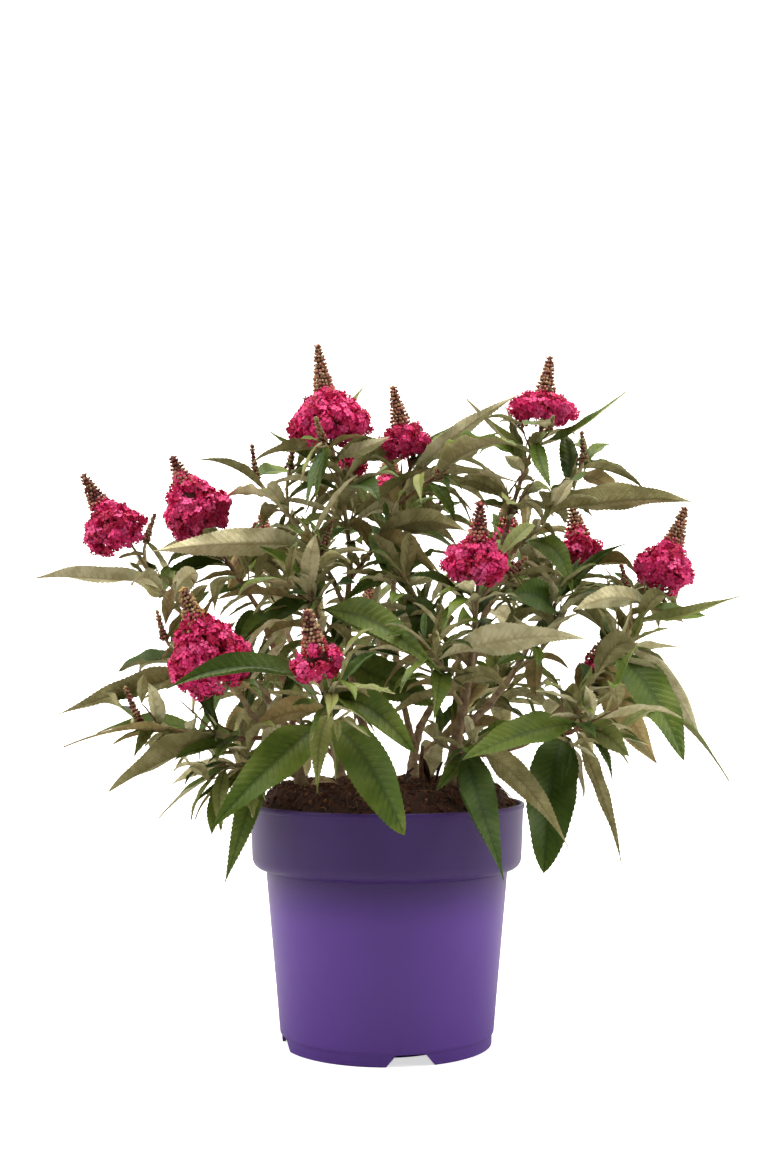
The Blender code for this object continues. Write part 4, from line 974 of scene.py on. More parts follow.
class Shoot:
    """One leafy shoot: its twigs, blooms and leaves, by the same rule as its solid."""

    def __init__(self, name, plan, limbs, space):
        self.name, self.plan, self.space = name, plan, space
        bend, end = at(plan.bend), at(plan.end)
        start, cut = seat_on(limbs[plan.limb], plan.share, bend)
        self.leader = Limb(start, bend, end, TWIG_RADIUS, TWIG_TIP_RADIUS, cut, TWIG_RINGS)
        self.twigs = [self.leader]
        self.leaves, self.small_leaves = [], []
        self.blooms, self.sprigs, self.left_out = [], [], []
        self.draw = random.Random("shoot " + name).uniform
        self.side = 1

    def place(self, points, faces):
        self.space.add(self.name, points, faces)

    def grow_twigs(self):
        self.place(*tube(self.leader, TWIG_SIDES))
        for share, end, length, *kind in self.plan.twigs:
            end = at(end)
            start = self.leader.point(min(share, LAST_TWIG_ROOT))
            bend = (start + end) / 2 + self.leader.heading(share) * SIDE_TWIG_RISE
            thin = TWIG_TIP_RADIUS * SIDE_TWIG_TAPER
            twig = Limb(start, bend, end, TWIG_TIP_RADIUS, thin, None, SIDE_TWIG_RINGS)
            self.twigs.append(twig)
            self.place(*tube(twig, TWIG_SIDES))
            self.end_twig(twig, length / 1000, kind[0] if kind else "bud")

    def end_twig(self, twig, length, kind):
        width, lean, share = TWIG_ENDS[kind]
        way = twig.heading(1)
        tip = twig.end + (way + UP * lean) * (length * share)
        self.add_bloom(Bloom(twig.end - way * BUD_SINK, tip, width, kind))

    def add_bloom(self, bloom):
        self.blooms.append(bloom)
        self.place(*panicle_form(*bloom))

    def grow_bloom(self):
        if self.plan.bloom:
            tip, width = self.plan.bloom
            self.add_bloom(Bloom(self.leader.point(BLOOM_ROOT), at(tip), width / 1000, "panicle"))

    def nearest(self, spot):
        """The place on this shoot's twigs that lies nearest to a wanted leaf root, and its heading."""
        places = [(twig, i / 50) for twig in self.twigs for i in range(4, 48)]
        twig, share = min(places, key=lambda place: (place[0].point(place[1]) - spot).length)
        return twig.point(share), twig.heading(share)

    def try_leaf(self, root, way, knee, tip, width, roll):
        """Adds a leaf if it clears the other masses and limbs, and this mass past its own root."""
        self.side = -self.side
        root = root + (root - knee).normalized() * ROOT_DEPTH + way * (ROOT_STAGGER * self.side)
        wide = leaf_form(root, knee, tip, width, roll, LEAF_CLEARANCE)
        if not self.space.is_free(wide, self.name):
            return False
        outer_root, outer_knee = along(root, knee, tip, BARE_SHARE), along(root, knee, tip, OUTER_KNEE)
        outer = leaf_form(outer_root, outer_knee, tip, width, roll, TOUCH_MARGIN)
        if self.name in self.space.met(*outer):
            return False
        self.place(*leaf_form(root, knee, tip, width, roll))
        self.leaves.append(Leaf(root, knee, tip, width, roll))
        return True

    def grow_shown_leaves(self):
        for shown in (Shown(*row) for row in self.plan.shown):
            (start, way), tip = self.nearest(at(shown.root)), at(shown.tip)
            knee = arched(start, tip, shown.arch)
            leaf = Leaf(start, knee, tip, shown.width / 1000, shown.roll, shown)
            if self.try_leaf(start, way, *leaf[1:5]):
                self.leaves[-1] = self.leaves[-1]._replace(look=shown)
            else:
                self.left_out.append(leaf)

    def grow_pairs(self):
        """Leaves in crossing pairs up each twig, smaller towards its tip."""
        for twig in self.twigs:
            leads = twig is self.leader
            pairs = self.plan.pairs if leads else SIDE_PAIRS
            full = self.plan.length / 1000 * (1 if leads else SIDE_LEAF_SIZE)
            turn = self.draw(0, pi)
            for k in range(pairs):
                share = FIRST_PAIR + PAIR_RUN * (k + 0.5) / pairs
                way = twig.heading(share)
                for flip in (0, pi):
                    angle = turn + flip + self.draw(-TURN_RANGE, TURN_RANGE)
                    size = full * (1 - TWIG_TAPER * share)
                    size *= self.draw(1 - SIZE_RANGE, 1 + SIZE_RANGE)
                    self.rule_leaf(twig.point(share), way, aside(way, angle), size)
                turn += pi / 2

    def rule_leaf(self, root, way, out, length):
        """A leaf that arches out and droops, shrunk until it fits or else skipped."""
        droop = self.draw(LEAST_DROOP, MOST_DROOP)
        roll = self.draw(-ROLL_RANGE, ROLL_RANGE)
        width = length * LEAF_SPREAD * self.draw(1 - SIZE_RANGE, 1 + SIZE_RANGE)
        for shrink in SHRINKS:
            tip = root + (out * TIP_OUT + way * TIP_ALONG - UP * droop) * (length * shrink)
            knee = root + (out * KNEE_OUT + way * KNEE_ALONG + UP * KNEE_RISE) * (length * shrink)
            if in_crown(tip) and self.try_leaf(root, way, knee, tip, width * shrink, roll):
                return

    def add_leaf(self, root, tip, width, roll, arch):
        """A leaf that only the photo's outline asks for, wherever it falls."""
        (start, _), tip = self.nearest(at(root)), at(tip)
        self.leaves.insert(self.shown, Leaf(start, arched(start, tip, arch), tip, width / 1000, roll))
        self.shown += 1

    def move_leaves(self):
        """Puts the shown leaves that the solids hold a little off back to the photo's place."""
        for number, leaf in enumerate(self.leaves[:self.shown]):
            if leaf.look and leaf.look.moved:
                root, tip, arch = leaf.look.moved
                (start, _), tip = self.nearest(at(root)), at(tip)
                self.leaves[number] = leaf._replace(root=start, knee=arched(start, tip, arch), tip=tip)

    def grow_sprigs(self, share):
        """Side shoots with smaller leaves at the leaf roots, kept off whatever is there."""
        for leaf in list(self.leaves):
            if self.draw(0, 1) > share:
                continue
            spot, way = self.nearest(leaf.root)
            out = (leaf.knee - leaf.root).normalized()
            run = self.draw(0.012, 0.044)
            end = spot + (out * 0.75 + way * 0.7 + UP * 0.2).normalized() * run
            if not in_crown(end):
                continue
            self.sprigs.append((spot, spot.lerp(end, 0.5) + out * 0.003, end))
            turn = self.draw(0, pi)
            for place in (0.3, 0.65, 1)[0 if run > 0.025 else 1:]:
                size = run * self.draw(1, 1.9) * (1.2 - 0.45 * place) + 0.01
                root, way = spot.lerp(end, place), (end - spot).normalized()
                for flip in (0, pi):
                    leaf_out = aside(way, turn + flip + self.draw(-0.4, 0.4))
                    self.small_leaf(root, way, leaf_out, size * self.draw(0.8, 1.2), 0.2)
                turn += pi / 2

    def small_leaf(self, spot, way, out, size, spread):
        droop = self.draw(-0.12, 0.32)
        tip = spot + (out * 0.72 + way * 0.6 - UP * droop) * size
        knee = spot + (out * 0.45 + way * 0.42 + UP * 0.06) * size
        roll = self.draw(-35, 35)
        width = size * spread * self.draw(0.8, 1.2)
        start = along(spot, knee, tip, SMALL_BARE_SHARE)
        form = leaf_form(start, along(spot, knee, tip, OUTER_KNEE), tip, width, roll)
        if in_crown(tip) and self.space.is_free(form):
            self.space.add(self.name, *form)
            self.small_leaves.append(Leaf(spot, knee, tip, width, roll))

    def grow_tufts(self):
        """Narrow small leaves round the foot of every panicle and bud."""
        for bloom in self.blooms:
            way = (bloom.tip - bloom.base).normalized()
            turn = self.draw(0, pi)
            reach = 0.6 if bloom.kind == "bud" else 0.9
            for k in range(6):
                spot = bloom.base - way * (0.0015 * k)
                size = self.draw(0.014, 0.028) * (0.8 + reach)
                self.small_leaf(spot, way * 0.8, aside(way, turn + k * 2.4), size, 0.16)


@cache
def grown():
    """Every limb and shoot, grown once and in the same order as the solids."""
    limbs, space = grow_limbs(), Space()
    space.add("pot", *lathe(pot_profile(0), SOLID_SIDES))
    space.add("compost", *lathe(compost_profile(), SOLID_SIDES))
    for name, limb in limbs.items():
        space.add(name, limb.points, limb.faces)
    shoots = {name: Shoot(name, Plan(*plan), limbs, space) for name, plan in MASSES.items()}
    for shoot in shoots.values():
        shoot.grow_twigs()
        shoot.grow_bloom()
    space.firm = len(space.owners)
    for shoot in shoots.values():
        shoot.grow_shown_leaves()
        shoot.shown = len(shoot.leaves)
    for shoot in shoots.values():
        shoot.grow_pairs()
    for name, *leaf in MORE_LEAVES:
        shoots[name].add_leaf(*leaf)
    share = bpy.context.scene.bush_leaf.sprigs
    front, back = [], []
    for name, shoot in shoots.items():
        (back if name in BACK_SHOOTS else front).extend(map(PhotoBloom, shoot.blooms))
    for shoot in shoots.values():
        shoot.leaves[shoot.shown:shoot.shown] = shoot.left_out
        shoot.shown += len(shoot.left_out)
        shoot.move_leaves()
        kept = [leaf for leaf in shoot.leaves[shoot.shown:] if keeps_clear(leaf, front)]
        shoot.leaves[shoot.shown:] = kept
        shoot.grow_sprigs(share)
        shoot.grow_tufts()
        shoot.small_leaves = [leaf for leaf in shoot.small_leaves if keeps_clear(leaf, front)]
        shoot.sprigs = [run for run in shoot.sprigs if in_outline(*photo_place(run[2]))]
    cover = Cover(front, back)
    for shoot in shoots.values():
        for leaf in shoot.leaves + shoot.small_leaves:
            cover.take(leaf)
    fill_bare([shoots[name] for name in MASSES if name not in BACK_SHOOTS], cover, front, space)
    return limbs, shoots


def reach_leaf(root, way, target, rng):
    """A leaf from its root on a twig out over a wanted place."""
    run = target - root
    length = min(LONGEST_FILL, run.length * rng.uniform(1.2, 1.7) + 0.012)
    tip = root + (run.normalized() + way * 0.15 - UP * rng.uniform(0, 0.3)) * length
    knee = root.lerp(tip, KNEE_SHARE) + UP * (ARCH * rng.uniform(0.5, 1.4) * length)
    width = max(0.009, length * rng.uniform(0.22, 0.3))
    return Leaf(root, knee, tip, width, rng.uniform(-ROLL_RANGE, ROLL_RANGE))


def fill_bare(shoots, cover, blooms, space):
    """Leaves from the nearest twig over the places where the photo's crown is still bare."""
    rng = random.Random("fill")
    roots = [(shoot, twig.point(i / 50), twig.heading(i / 50))
            for shoot in shoots for twig in shoot.twigs for i in range(4, 48, 2)]
    spots = np.array([tuple(root) for _, root, _ in roots])
    for _ in range(FILL_ROUNDS):
        cell = rng.choice(tuple(cover.bare))
        target = spot_at((cell[0] + 0.5) * CELL, (cell[1] + 0.5) * CELL,
                rng.uniform(-0.11, min(0.05, cover.bare[cell] - 0.012)))
        gaps = norm(spots - np.array(target), axis=1)
        if gaps.min() > FARTHEST_FILL:
            continue
        shoot, root, way = roots[int(gaps.argmin())]
        leaf = reach_leaf(root, way, target, rng)
        count, cells = cover.wanted(leaf)
        if len(cells) < FILL_SHARE * count or not in_crown(leaf.tip) or not keeps_clear(leaf, blooms):
            continue
        start, bend = (along(*leaf[:3], t) for t in (SMALL_BARE_SHARE, OUTER_KNEE))
        if not any(space.met(*leaf_form(start, bend, leaf.tip, leaf.width * 0.7, leaf.roll), space.firm)):
            shoot.leaves.append(leaf)
            cover.take(leaf)


def photo_place(spot):
    """Column and row at which the photo shows a spot."""
    x, y, z = (a - b for a, b in zip(spot, CAMERA_PLACE))
    depth = y * cos(CAMERA_PITCH) + z * sin(CAMERA_PITCH)
    rise = z * cos(CAMERA_PITCH) - y * sin(CAMERA_PITCH)
    scale = LENS_MM / SENSOR_MM * PHOTO_HEIGHT / depth
    return PHOTO_WIDTH / 2 + scale * x, PHOTO_HEIGHT / 2 - scale * rise


def spot_at(column, row, y):
    """The spot with this y that the photo shows at a column and row."""
    sine, cosine = sin(CAMERA_PITCH), cos(CAMERA_PITCH)
    scale = LENS_MM / SENSOR_MM * PHOTO_HEIGHT
    up, run = (PHOTO_HEIGHT / 2 - row) / scale, y - CAMERA_PLACE[1]
    rise = run * (sine + up * cosine) / (cosine - up * sine)
    aside = (column - PHOTO_WIDTH / 2) / scale * (run * cosine + rise * sine)
    return Vector((CAMERA_PLACE[0] + aside, y, CAMERA_PLACE[2] + rise))


def in_outline(column, row):
    """Whether a place in the photo lies inside the crown's outline."""
    inside = False
    for (x0, y0), (x1, y1) in zip(CROWN_OUTLINE, CROWN_OUTLINE[1:] + CROWN_OUTLINE[:1]):
        if (y0 > row) != (y1 > row) and column < x0 + (row - y0) * (x1 - x0) / (y1 - y0):
            inside = not inside
    return inside


class PhotoBloom:
    """What the photo shows of a bloom: its axis in pixels, its half widths and how near it is."""

    def __init__(self, bloom):
        self.base, self.tip = (np.array(photo_place(spot)) for spot in (bloom.base, bloom.tip))
        self.near = (bloom.base.y + bloom.tip.y) / 2
        self.body = 0 if bloom.kind == "bud" else bloom.width * 0.45 * PIXELS_A_METRE
        self.spike = 0.006 * PIXELS_A_METRE

    def holds(self, place):
        run = self.tip - self.base
        share = np.clip(np.dot(place - self.base, run) / np.dot(run, run), 0, 1)
        half = self.body if share < USUAL_REACH[1] and self.body else self.spike
        return norm(place - self.base - run * share) < half and share > 0.12


class Cover:
    """The cells of the photo's crown that still want a leaf, each with how far back it may be."""

    def __init__(self, front, back):
        self.bare = {}
        for column in range(CELL // 2, PHOTO_WIDTH, CELL):
            for row in range(CELL // 2, LOWEST_BARE_ROW, CELL):
                place = np.array((column, row))
                if not in_outline(column, row) or in_sky(place) or any(b.holds(place) for b in front):
                    continue
                limits = [bloom.near for bloom in back if bloom.holds(place)]
                self.bare[column // CELL, row // CELL] = min(limits, default=1)

    def wanted(self, leaf):
        """How many cells a leaf lies over, and those of them that it would cover."""
        places = [photo_place(along(*leaf[:3], t)) for t in COVER_SHARES]
        places = np.array(places)
        run = unit(places[-1] - places[0])
        half = leaf.width * 0.22 if leaf.width > THIN_LEAF else 0
        side = np.array((-run[1], run[0])) * half * PIXELS_A_METRE
        spots = np.concatenate((places, places + side, places - side)) // CELL
        cells = {(int(column), int(row)) for column, row in spots}
        return len(cells), [cell for cell in cells if self.bare.get(cell, -1) > leaf.knee.y]

    def take(self, leaf):
        for cell in self.wanted(leaf)[1]:
            del self.bare[cell]


def in_sky(place):
    return any(((place[0] - column) / wide) ** 2 + ((place[1] - row) / high) ** 2 < 1
            for column, row, wide, high in SKY_GAPS)


def keeps_clear(leaf, blooms):
    """Whether a leaf stays inside the photo's outline, off its sky and off the blossom behind it."""
    over_sky = 0
    for t in (0.4, 0.55, 0.7, 0.85, 0.97):
        spot = along(*leaf[:3], t)
        place = np.array(photo_place(spot))
        over_sky += in_sky(place)
        if over_sky > 1 or not in_outline(*place):
            return False
        if any(spot.y < bloom.near and bloom.holds(place) for bloom in blooms):
            return False
    return True


def lathe(profile, sides):
    """Points and faces of a form turned about the Z axis, from axis to axis."""
    (_, foot), *rings, (_, top) = profile
    points = [Vector((0, 0, foot))]
    for radius, height in rings:
        points += [Vector((x, y, height)) for x, y in circle(radius, sides)]
    return points + [Vector((0, 0, top))], closed(len(rings), sides)


def steps_from(radius, height, *steps):
    """Places of a profile by their steps, in millimetres, from one radius and height."""
    return [(radius + out / 1000, height + up / 1000) for out, up in steps]


def pot_profile(lip):
    """Radius and height from the middle of the underside, up the outside, down the inside."""
    band_foot, body_foot = POT_HEIGHT - BAND_HEIGHT, FOOT_RADIUS + FOOT_STEP
    slope = (BODY_TOP_RADIUS - body_foot) / (band_foot - FOOT_HEIGHT)
    inner_foot = body_foot + slope * (FLOOR_TOP - FOOT_HEIGHT) - WALL
    channel_top = FOOT_HEIGHT - 0.001
    return [
        (0, 0), (HUB_RADIUS, 0), (HUB_RADIUS + 0.002, channel_top),
        (FOOT_RADIUS - WALL - 0.0012, channel_top), (FOOT_RADIUS - WALL - 0.0004, 0),
        *steps_from(FOOT_RADIUS, 0, (-0.8, 0), (-0.2, 0.3), (0, 1)),
        *steps_from(FOOT_RADIUS, FOOT_HEIGHT, (0.3, -2.2), (0.7, -1.2)),
        *steps_from(body_foot, FOOT_HEIGHT, (-0.3, -0.6), (0, 0), (slope * 2, 2)),
        *steps_from(BODY_TOP_RADIUS, band_foot, (-0.2, -6), (0, -4.2), (1.2, -3.2), (4.5, -2.6),
            (7, -1.8)),
        *steps_from(RIM_RADIUS, band_foot, (-5, 0), (-3.8, 1.8), (-3.1, 4), (-2.7, 7.5)),
        *steps_from(RIM_RADIUS - lip, POT_HEIGHT, (-0.4, -5.2), (-0.3, -4.4)),
        *steps_from(RIM_RADIUS, POT_HEIGHT, (-0.1, -3.8), (0, -3), (0, -1.4), (-0.3, -0.5), (-0.9, 0),
            (-2.4, 0), (-3, -0.6)),
        (RIM_RADIUS - WALL - 0.0028, band_foot + 0.006),
        *steps_from(BODY_TOP_RADIUS - WALL, band_foot, (1, 1), (0, -4)), (inner_foot, FLOOR_TOP),
        (0, FLOOR_TOP),
    ]


def compost_profile():
    """Radius and height of the fill, from the pot's floor up its inside to the flat crown."""
    inside = pot_profile(0)[-5:]
    profile = [(0, FLOOR_TOP + GAP)]
    for radius, height in reversed(inside[:-1]):
        profile.append((radius - GAP * 1.2, height + (GAP if height == FLOOR_TOP else 0)))
    edge, brim = profile[-1][0] + 0.001, POT_HEIGHT - 0.0045
    return profile + [(edge, brim), (edge - 0.006, brim + 0.006),
            (PLATEAU_RADIUS + 0.006, COMPOST_TOP - 0.003),
            (PLATEAU_RADIUS, COMPOST_TOP), (0, COMPOST_TOP)]


@cache
def blade_net(rows, columns):
    """Corner numbers of one side of a blade: quads along it and the fan at its tip."""
    quads = [(low + k, low + k + 1, low + columns + k + 1, low + columns + k)
            for low in range(0, (rows - 1) * columns, columns) for k in range(columns - 1)]
    last, end = (rows - 1) * columns, rows * columns
    return np.array(quads), np.array([(last + k, last + k + 1, end) for k in range(columns - 1)])


def unit(rows):
    return rows / np.maximum(norm(rows, axis=-1, keepdims=True), 1e-9)


def outline(t, power, plump):
    """Half width of a blade as a share of its greatest, from the stalk to the tip."""
    t = np.clip(t, 0, 1)
    peak = 1 / (1 + power)
    wedge = np.clip(t / PETIOLE_SHARE - 0.25, 0, 1)
    full = t * (1 - t) ** power / (peak * (1 - peak) ** power)
    return full ** plump * wedge * (2 - wedge)


def add_blade(stock, leaf, upper, felt, sizes, rng, rolled=0):
    """One leaf: a folded, waved and toothed upper side, and an underside with its raised rib.

    With rolled, that margin (-1 or 1) turns over and shows a strip of the underside."""
    root, knee, tip = (np.array(p) for p in leaf[:3])
    length = norm(knee - root) + norm(tip - knee)
    if length > SHORT_BLADE_FROM:
        columns, row, vein_rows = LONG_COLUMNS, sizes.row, VEIN_ROWS
        if rolled:
            columns, row = ROLLED_COLUMNS, sizes.row * 1.15
    elif length > SMALL_BLADE_FROM:
        columns, row, vein_rows, rolled = SHORT_COLUMNS, sizes.row * 1.6, 2, 0
    else:
        columns, row, vein_rows, rolled = SMALL_COLUMNS, sizes.row * 1.5, 99, 0
    rows = max(5, int(length / row))
    s, half = np.array(columns), leaf.width / 2
    broad = min(1, max(0, (leaf.width / length - 0.2) / 0.12))
    power = rng.uniform(*BLUNT) - 0.45 * broad + (0 if length > SHORT_BLADE_FROM else 0.25)
    form = partial(outline, power=power, plump=1 - 0.22 * broad)
    base_t = np.arange(rows)[:, None] / rows
    t = base_t + VEIN_SWEEP * np.abs(s) * form(base_t) * half / length
    sideways = abs(tip[0] - root[0]) / length
    fold = radians(rng.uniform(*FOLD) + rng.uniform(*MORE_FOLD) * min(1, sideways * 1.1) ** 2)
    curl = rng.uniform(*CURL)
    wave, waves = rng.uniform(*WAVE), rng.uniform(*WAVES)
    phase, twist = rng.uniform(0, FULL_TURN, 2), radians(rng.uniform(*TWIST))
    sway, hook = rng.uniform(*SWAY), rng.uniform(*HOOK)

    flat = np.array((tip[0] - root[0], tip[1] - root[1], 0))
    if norm(flat) < UPRIGHT * length:
        flat = flat + np.array((root[0], root[1], 0))
    across = unit(np.cross(flat, (0, 0, 1)))
    u = t[:, :, None]
    spot = (1 - u) ** 2 * root + 2 * u * (1 - u) * knee + u * u * tip
    way = unit((1 - u) * (knee - root) + u * (tip - knee))
    level = unit(across - way * (way @ across)[:, :, None])
    turn = (radians(leaf.roll) * np.minimum(1, t * 3) + twist * t)[:, :, None]
    edge = level * np.cos(turn) + np.cross(way, level) * np.sin(turn)
    up = -np.cross(way, edge)
    spot = spot + edge * (sway * length * np.sin(pi * u))
    spot = spot - up * (hook * length * np.maximum(0, u - 0.7) ** 2 * 8)

    number = np.arange(rows)[:, None]
    middle = np.abs(s) < 0.1
    full = form(t)
    width = np.maximum(full * half, PETIOLE_HALF_WIDTH)
    tooth = np.where(number % 2 == 0, 1, -0.5) * sizes.tooth * (np.abs(s) == 1)
    tooth = tooth * np.clip(full * 2.5, 0, 1) * min(1, length / 0.05)
    share = np.abs(s)
    out = np.sign(s) * (share * width * cos(fold) + tooth)
    rise = share * sin(fold) + curl * share ** 3
    ripple = wave * np.sin(FULL_TURN * waves * t + np.where(s > 0, phase[0], phase[1])) * s * s
    height = width * (rise + ripple)
    if rolled:
        over = (s == rolled) * np.clip(full * 2, 0, 1)
        out = out - np.sign(s) * over * width * ROLLED_IN
        height = height + over * width * ROLLED_UP
    on_vein = (number % vein_rows == 0) & (full > 0.15)
    quilt = np.where(on_vein, -1, 0.5) * sizes.vein * np.sin(pi * np.minimum(share, 1))
    groove = middle * sizes.vein
    upper_side = spot + edge * out[:, :, None] + up * (height + quilt - groove)[:, :, None]
    body = sizes.thickness * (1 - s * s) + middle * RIB * (1.15 - t)
    under_side = upper_side - up * body[:, :, None]
    marks = np.where(middle, 1, np.where(on_vein, 0.92, 0)) * (share < 0.95)
    marks = np.broadcast_to(marks, t.shape)
    end = tip - up[-1].mean(axis=0) * (hook * length * 0.72)

    quads, fan = blade_net(rows, len(columns))
    points = np.vstack((upper_side.reshape(-1, 3), end))
    tones = np.append(marks.ravel(), 0.4)
    stock.add(points, (quads, fan), upper, tones)
    points = np.vstack((under_side.reshape(-1, 3), end))
    stock.add(points, (quads[:, [0, 3, 2, 1]], fan[:, ::-1]), felt, tones)


def round_run(stock, spots, radii, sides, finish, relief=None, caps=True):
    """A round run through the spots, each with its radius; relief gives the skin's height."""
    spots, radii = np.array([tuple(p) for p in spots]), np.array(radii)
    ways = unit(np.gradient(spots, axis=0))
    side = np.array(Vector(ways[0]).orthogonal().normalized())
    rings = []
    turns = np.arange(sides) * 2 * pi / sides
    for number, (spot, way, radius) in enumerate(zip(spots, ways, radii)):
        side = unit(side - way * (side @ way))
        over = np.cross(way, side)
        out = np.cos(turns)[:, None] * side + np.sin(turns)[:, None] * over
        size = radius if relief is None else radius + relief(number, turns)
        rings.append(spot + out * np.broadcast_to(size, (sides,))[:, None])
    quads, fans = run_faces(len(spots), sides)
    if caps:
        stock.add(np.vstack((*rings, spots[0], spots[-1])), (quads, fans), finish)
    else:
        stock.add(np.vstack(rings), (quads,), finish)


def pick(rng, names):
    return names[int(rng.integers(len(names)))]


def sunk(spots, depth):
    """A run of spots that starts a little inside whatever it grows from."""
    return [spots[0] - (spots[1] - spots[0]).normalized() * depth, *spots]


def outward(axes, turn):
    return np.array((cos(turn), sin(turn), 0)) @ axes


def spun(way, rng):
    """Three axes as rows, the last along the way, turned about it at random."""
    way, spin = unit(np.asarray(way, float)), rng.uniform(0, FULL_TURN)
    side = np.array(Vector(way).orthogonal().normalized())
    over = np.cross(way, side)
    x = side * cos(spin) + over * sin(spin)
    return np.stack((x, np.cross(way, x), way))


@cache
def floret_form():
    """A four-lobed floret on its short tube, one unit in radius and facing +Z."""
    points = [(0, 0, -0.22)]
    lobes, throat = [], []
    for k in range(4):
        turn = k * pi / 2
        first = len(points)
        for radius, angle, height in ((0.24, -45, 0), (0.24, 0, 0.06), (0.88, -32, 0.1),
                (1.04, 0, -0.02), (0.86, 32, 0.16)):
            swing = turn + radians(angle)
            points.append((radius * cos(swing), radius * sin(swing), height))
        following = 1 + ((k + 1) % 4) * 5
        notch, middle, left, front, right = range(first, first + 5)
        throat += [(0, notch, middle), (0, middle, following)]
        lobes += [(notch, left, middle), (left, front, middle), (front, right, middle),
                (right, following, middle)]
    start = len(points)
    for radius, height in ((0.26, -0.02), (0.17, -1.35)):
        for k in range(4):
            turn = k * pi / 2 + 0.78
            points.append((radius * cos(turn), radius * sin(turn), height))
    tube_faces = [(start + 4 + k, start + 4 + (k + 1) % 4, start + (k + 1) % 4, start + k)
            for k in range(4)]
    return np.array(points), np.array(lobes), np.array(throat), np.array(tube_faces)


@cache
def bud_form(sides, shape=BUD_RINGS):
    """A plump bud one unit long, from its foot at the origin along +Z."""
    points = [(0, 0, 0)]
    for height, radius in shape:
        for k in range(sides):
            turn = (k + height) * 2 * pi / sides
            points.append((radius * cos(turn), radius * sin(turn), height))
    points.append((0, 0, 1))
    faces = closed(len(shape), sides)
    return (np.array(points), np.array(faces[:sides] + faces[-sides:]),
            np.array(faces[sides:-sides]))


def add_bud(stock, spot, way, length, finish, rng, stout=1, shape=BUD_RINGS):
    points, cones, quads = bud_form(4, shape)
    axes = spun(way, rng)
    sizes = np.array((length * stout, length * stout, length))
    stock.add(np.asarray(spot) + (points * sizes) @ axes, (cones, quads), finish)


def add_floret(stock, spot, way, radius, finish, rng):
    points, lobes, throat, tube_faces = floret_form()
    axes = spun(way, rng)
    bent = points * (1, 1, rng.uniform(0.5, 1.7))
    placed = np.asarray(spot) + (bent * radius) @ axes
    stock.add(placed, (lobes, tube_faces), finish)
    stock.add(placed, (throat,), "petal_throat")


def add_cyme(stock, buds, spot, out, radius, sizes, finish, rng):
    """A round cluster of florets that looks outward, with a closed bud here and there."""
    count = int(12 * (radius / sizes.cyme) ** 2)
    axes = spun(out, rng)
    for k in range(count):
        high = 1 - 1.4 * (k + 0.5) / count
        flat, turn = sqrt(1 - high * high), k * GOLDEN_TURN + rng.uniform(-0.25, 0.25)
        way = np.array((flat * cos(turn), flat * sin(turn), high)) @ axes
        place = np.asarray(spot) + way * radius * rng.uniform(0.8, 1.1)
        size = sizes.floret * rng.uniform(0.78, 1.12)
        if rng.random() < 0.1:
            add_bud(buds, place - way * 0.002, way, 0.0042, "bud_crimson", rng, 0.8)
            continue
        tone = finish if rng.random() < 0.75 else rng.choice(("petal_pink", "petal_light"))
        add_floret(stock, place, way + rng.normal(0, 0.18, 3), size, tone, rng)


def add_body(stock, buds, bloom, sizes, rng, sparse, reach):
    """The open part of a panicle: whorls of cymes round a dark core of painted shade, which also stands
    for the stalks inside, from reach to reach.
    """
    base, tip = np.array(bloom.base), np.array(bloom.tip)
    length, axes = norm(tip - base), spun(tip - base, rng)
    cyme = sizes.cyme * (0.85 if sparse else 1)
    low, high = reach[0] * length + cyme * 0.8, reach[1] * length - cyme * 0.5
    tiers = max(2, int(round((high - low) / (cyme * 1.15))) + 1)
    turn = 0
    for tier in range(tiers):
        share = tier / (tiers - 1)
        radius = np.interp(share, BODY_SHARES, BODY_WIDTHS) * bloom.width
        inner = max(0, radius - cyme * 0.95)
        around = max(3, int(round(2 * pi * inner / (cyme * 1.5))))
        for k in range(around):
            if rng.random() < (0.45 if sparse else 0.1):
                continue
            out = outward(axes, turn + 2 * pi * (k + rng.uniform(-0.16, 0.16)) / around)
            place = low + (high - low) * share + rng.uniform(-0.35, 0.35) * cyme
            spot = base + axes[2] * place + out * inner * rng.uniform(0.86, 1.1)
            facing = out + axes[2] * (0.9 * share - 0.2)
            finish = pick(rng, ("petal_pink", "petal_pink", "petal_light", "petal_deep"))
            add_cyme(stock, buds, spot, facing, cyme * rng.uniform(0.8, 1.06), sizes, finish, rng)
        turn += 0.6
    # painted shade: a dark core that darkens the gaps between the cymes
    heights = np.linspace(0, 1, 7)
    core = np.interp(heights, BODY_SHARES, BODY_WIDTHS) * bloom.width * (0.4 if sparse else 0.62)
    core[0], core[-1] = 0.001, 0.002
    spots = base + (low + (high - low) * heights)[:, None] * axes[2]
    round_run(buds, spots, core, 10, "calyx")


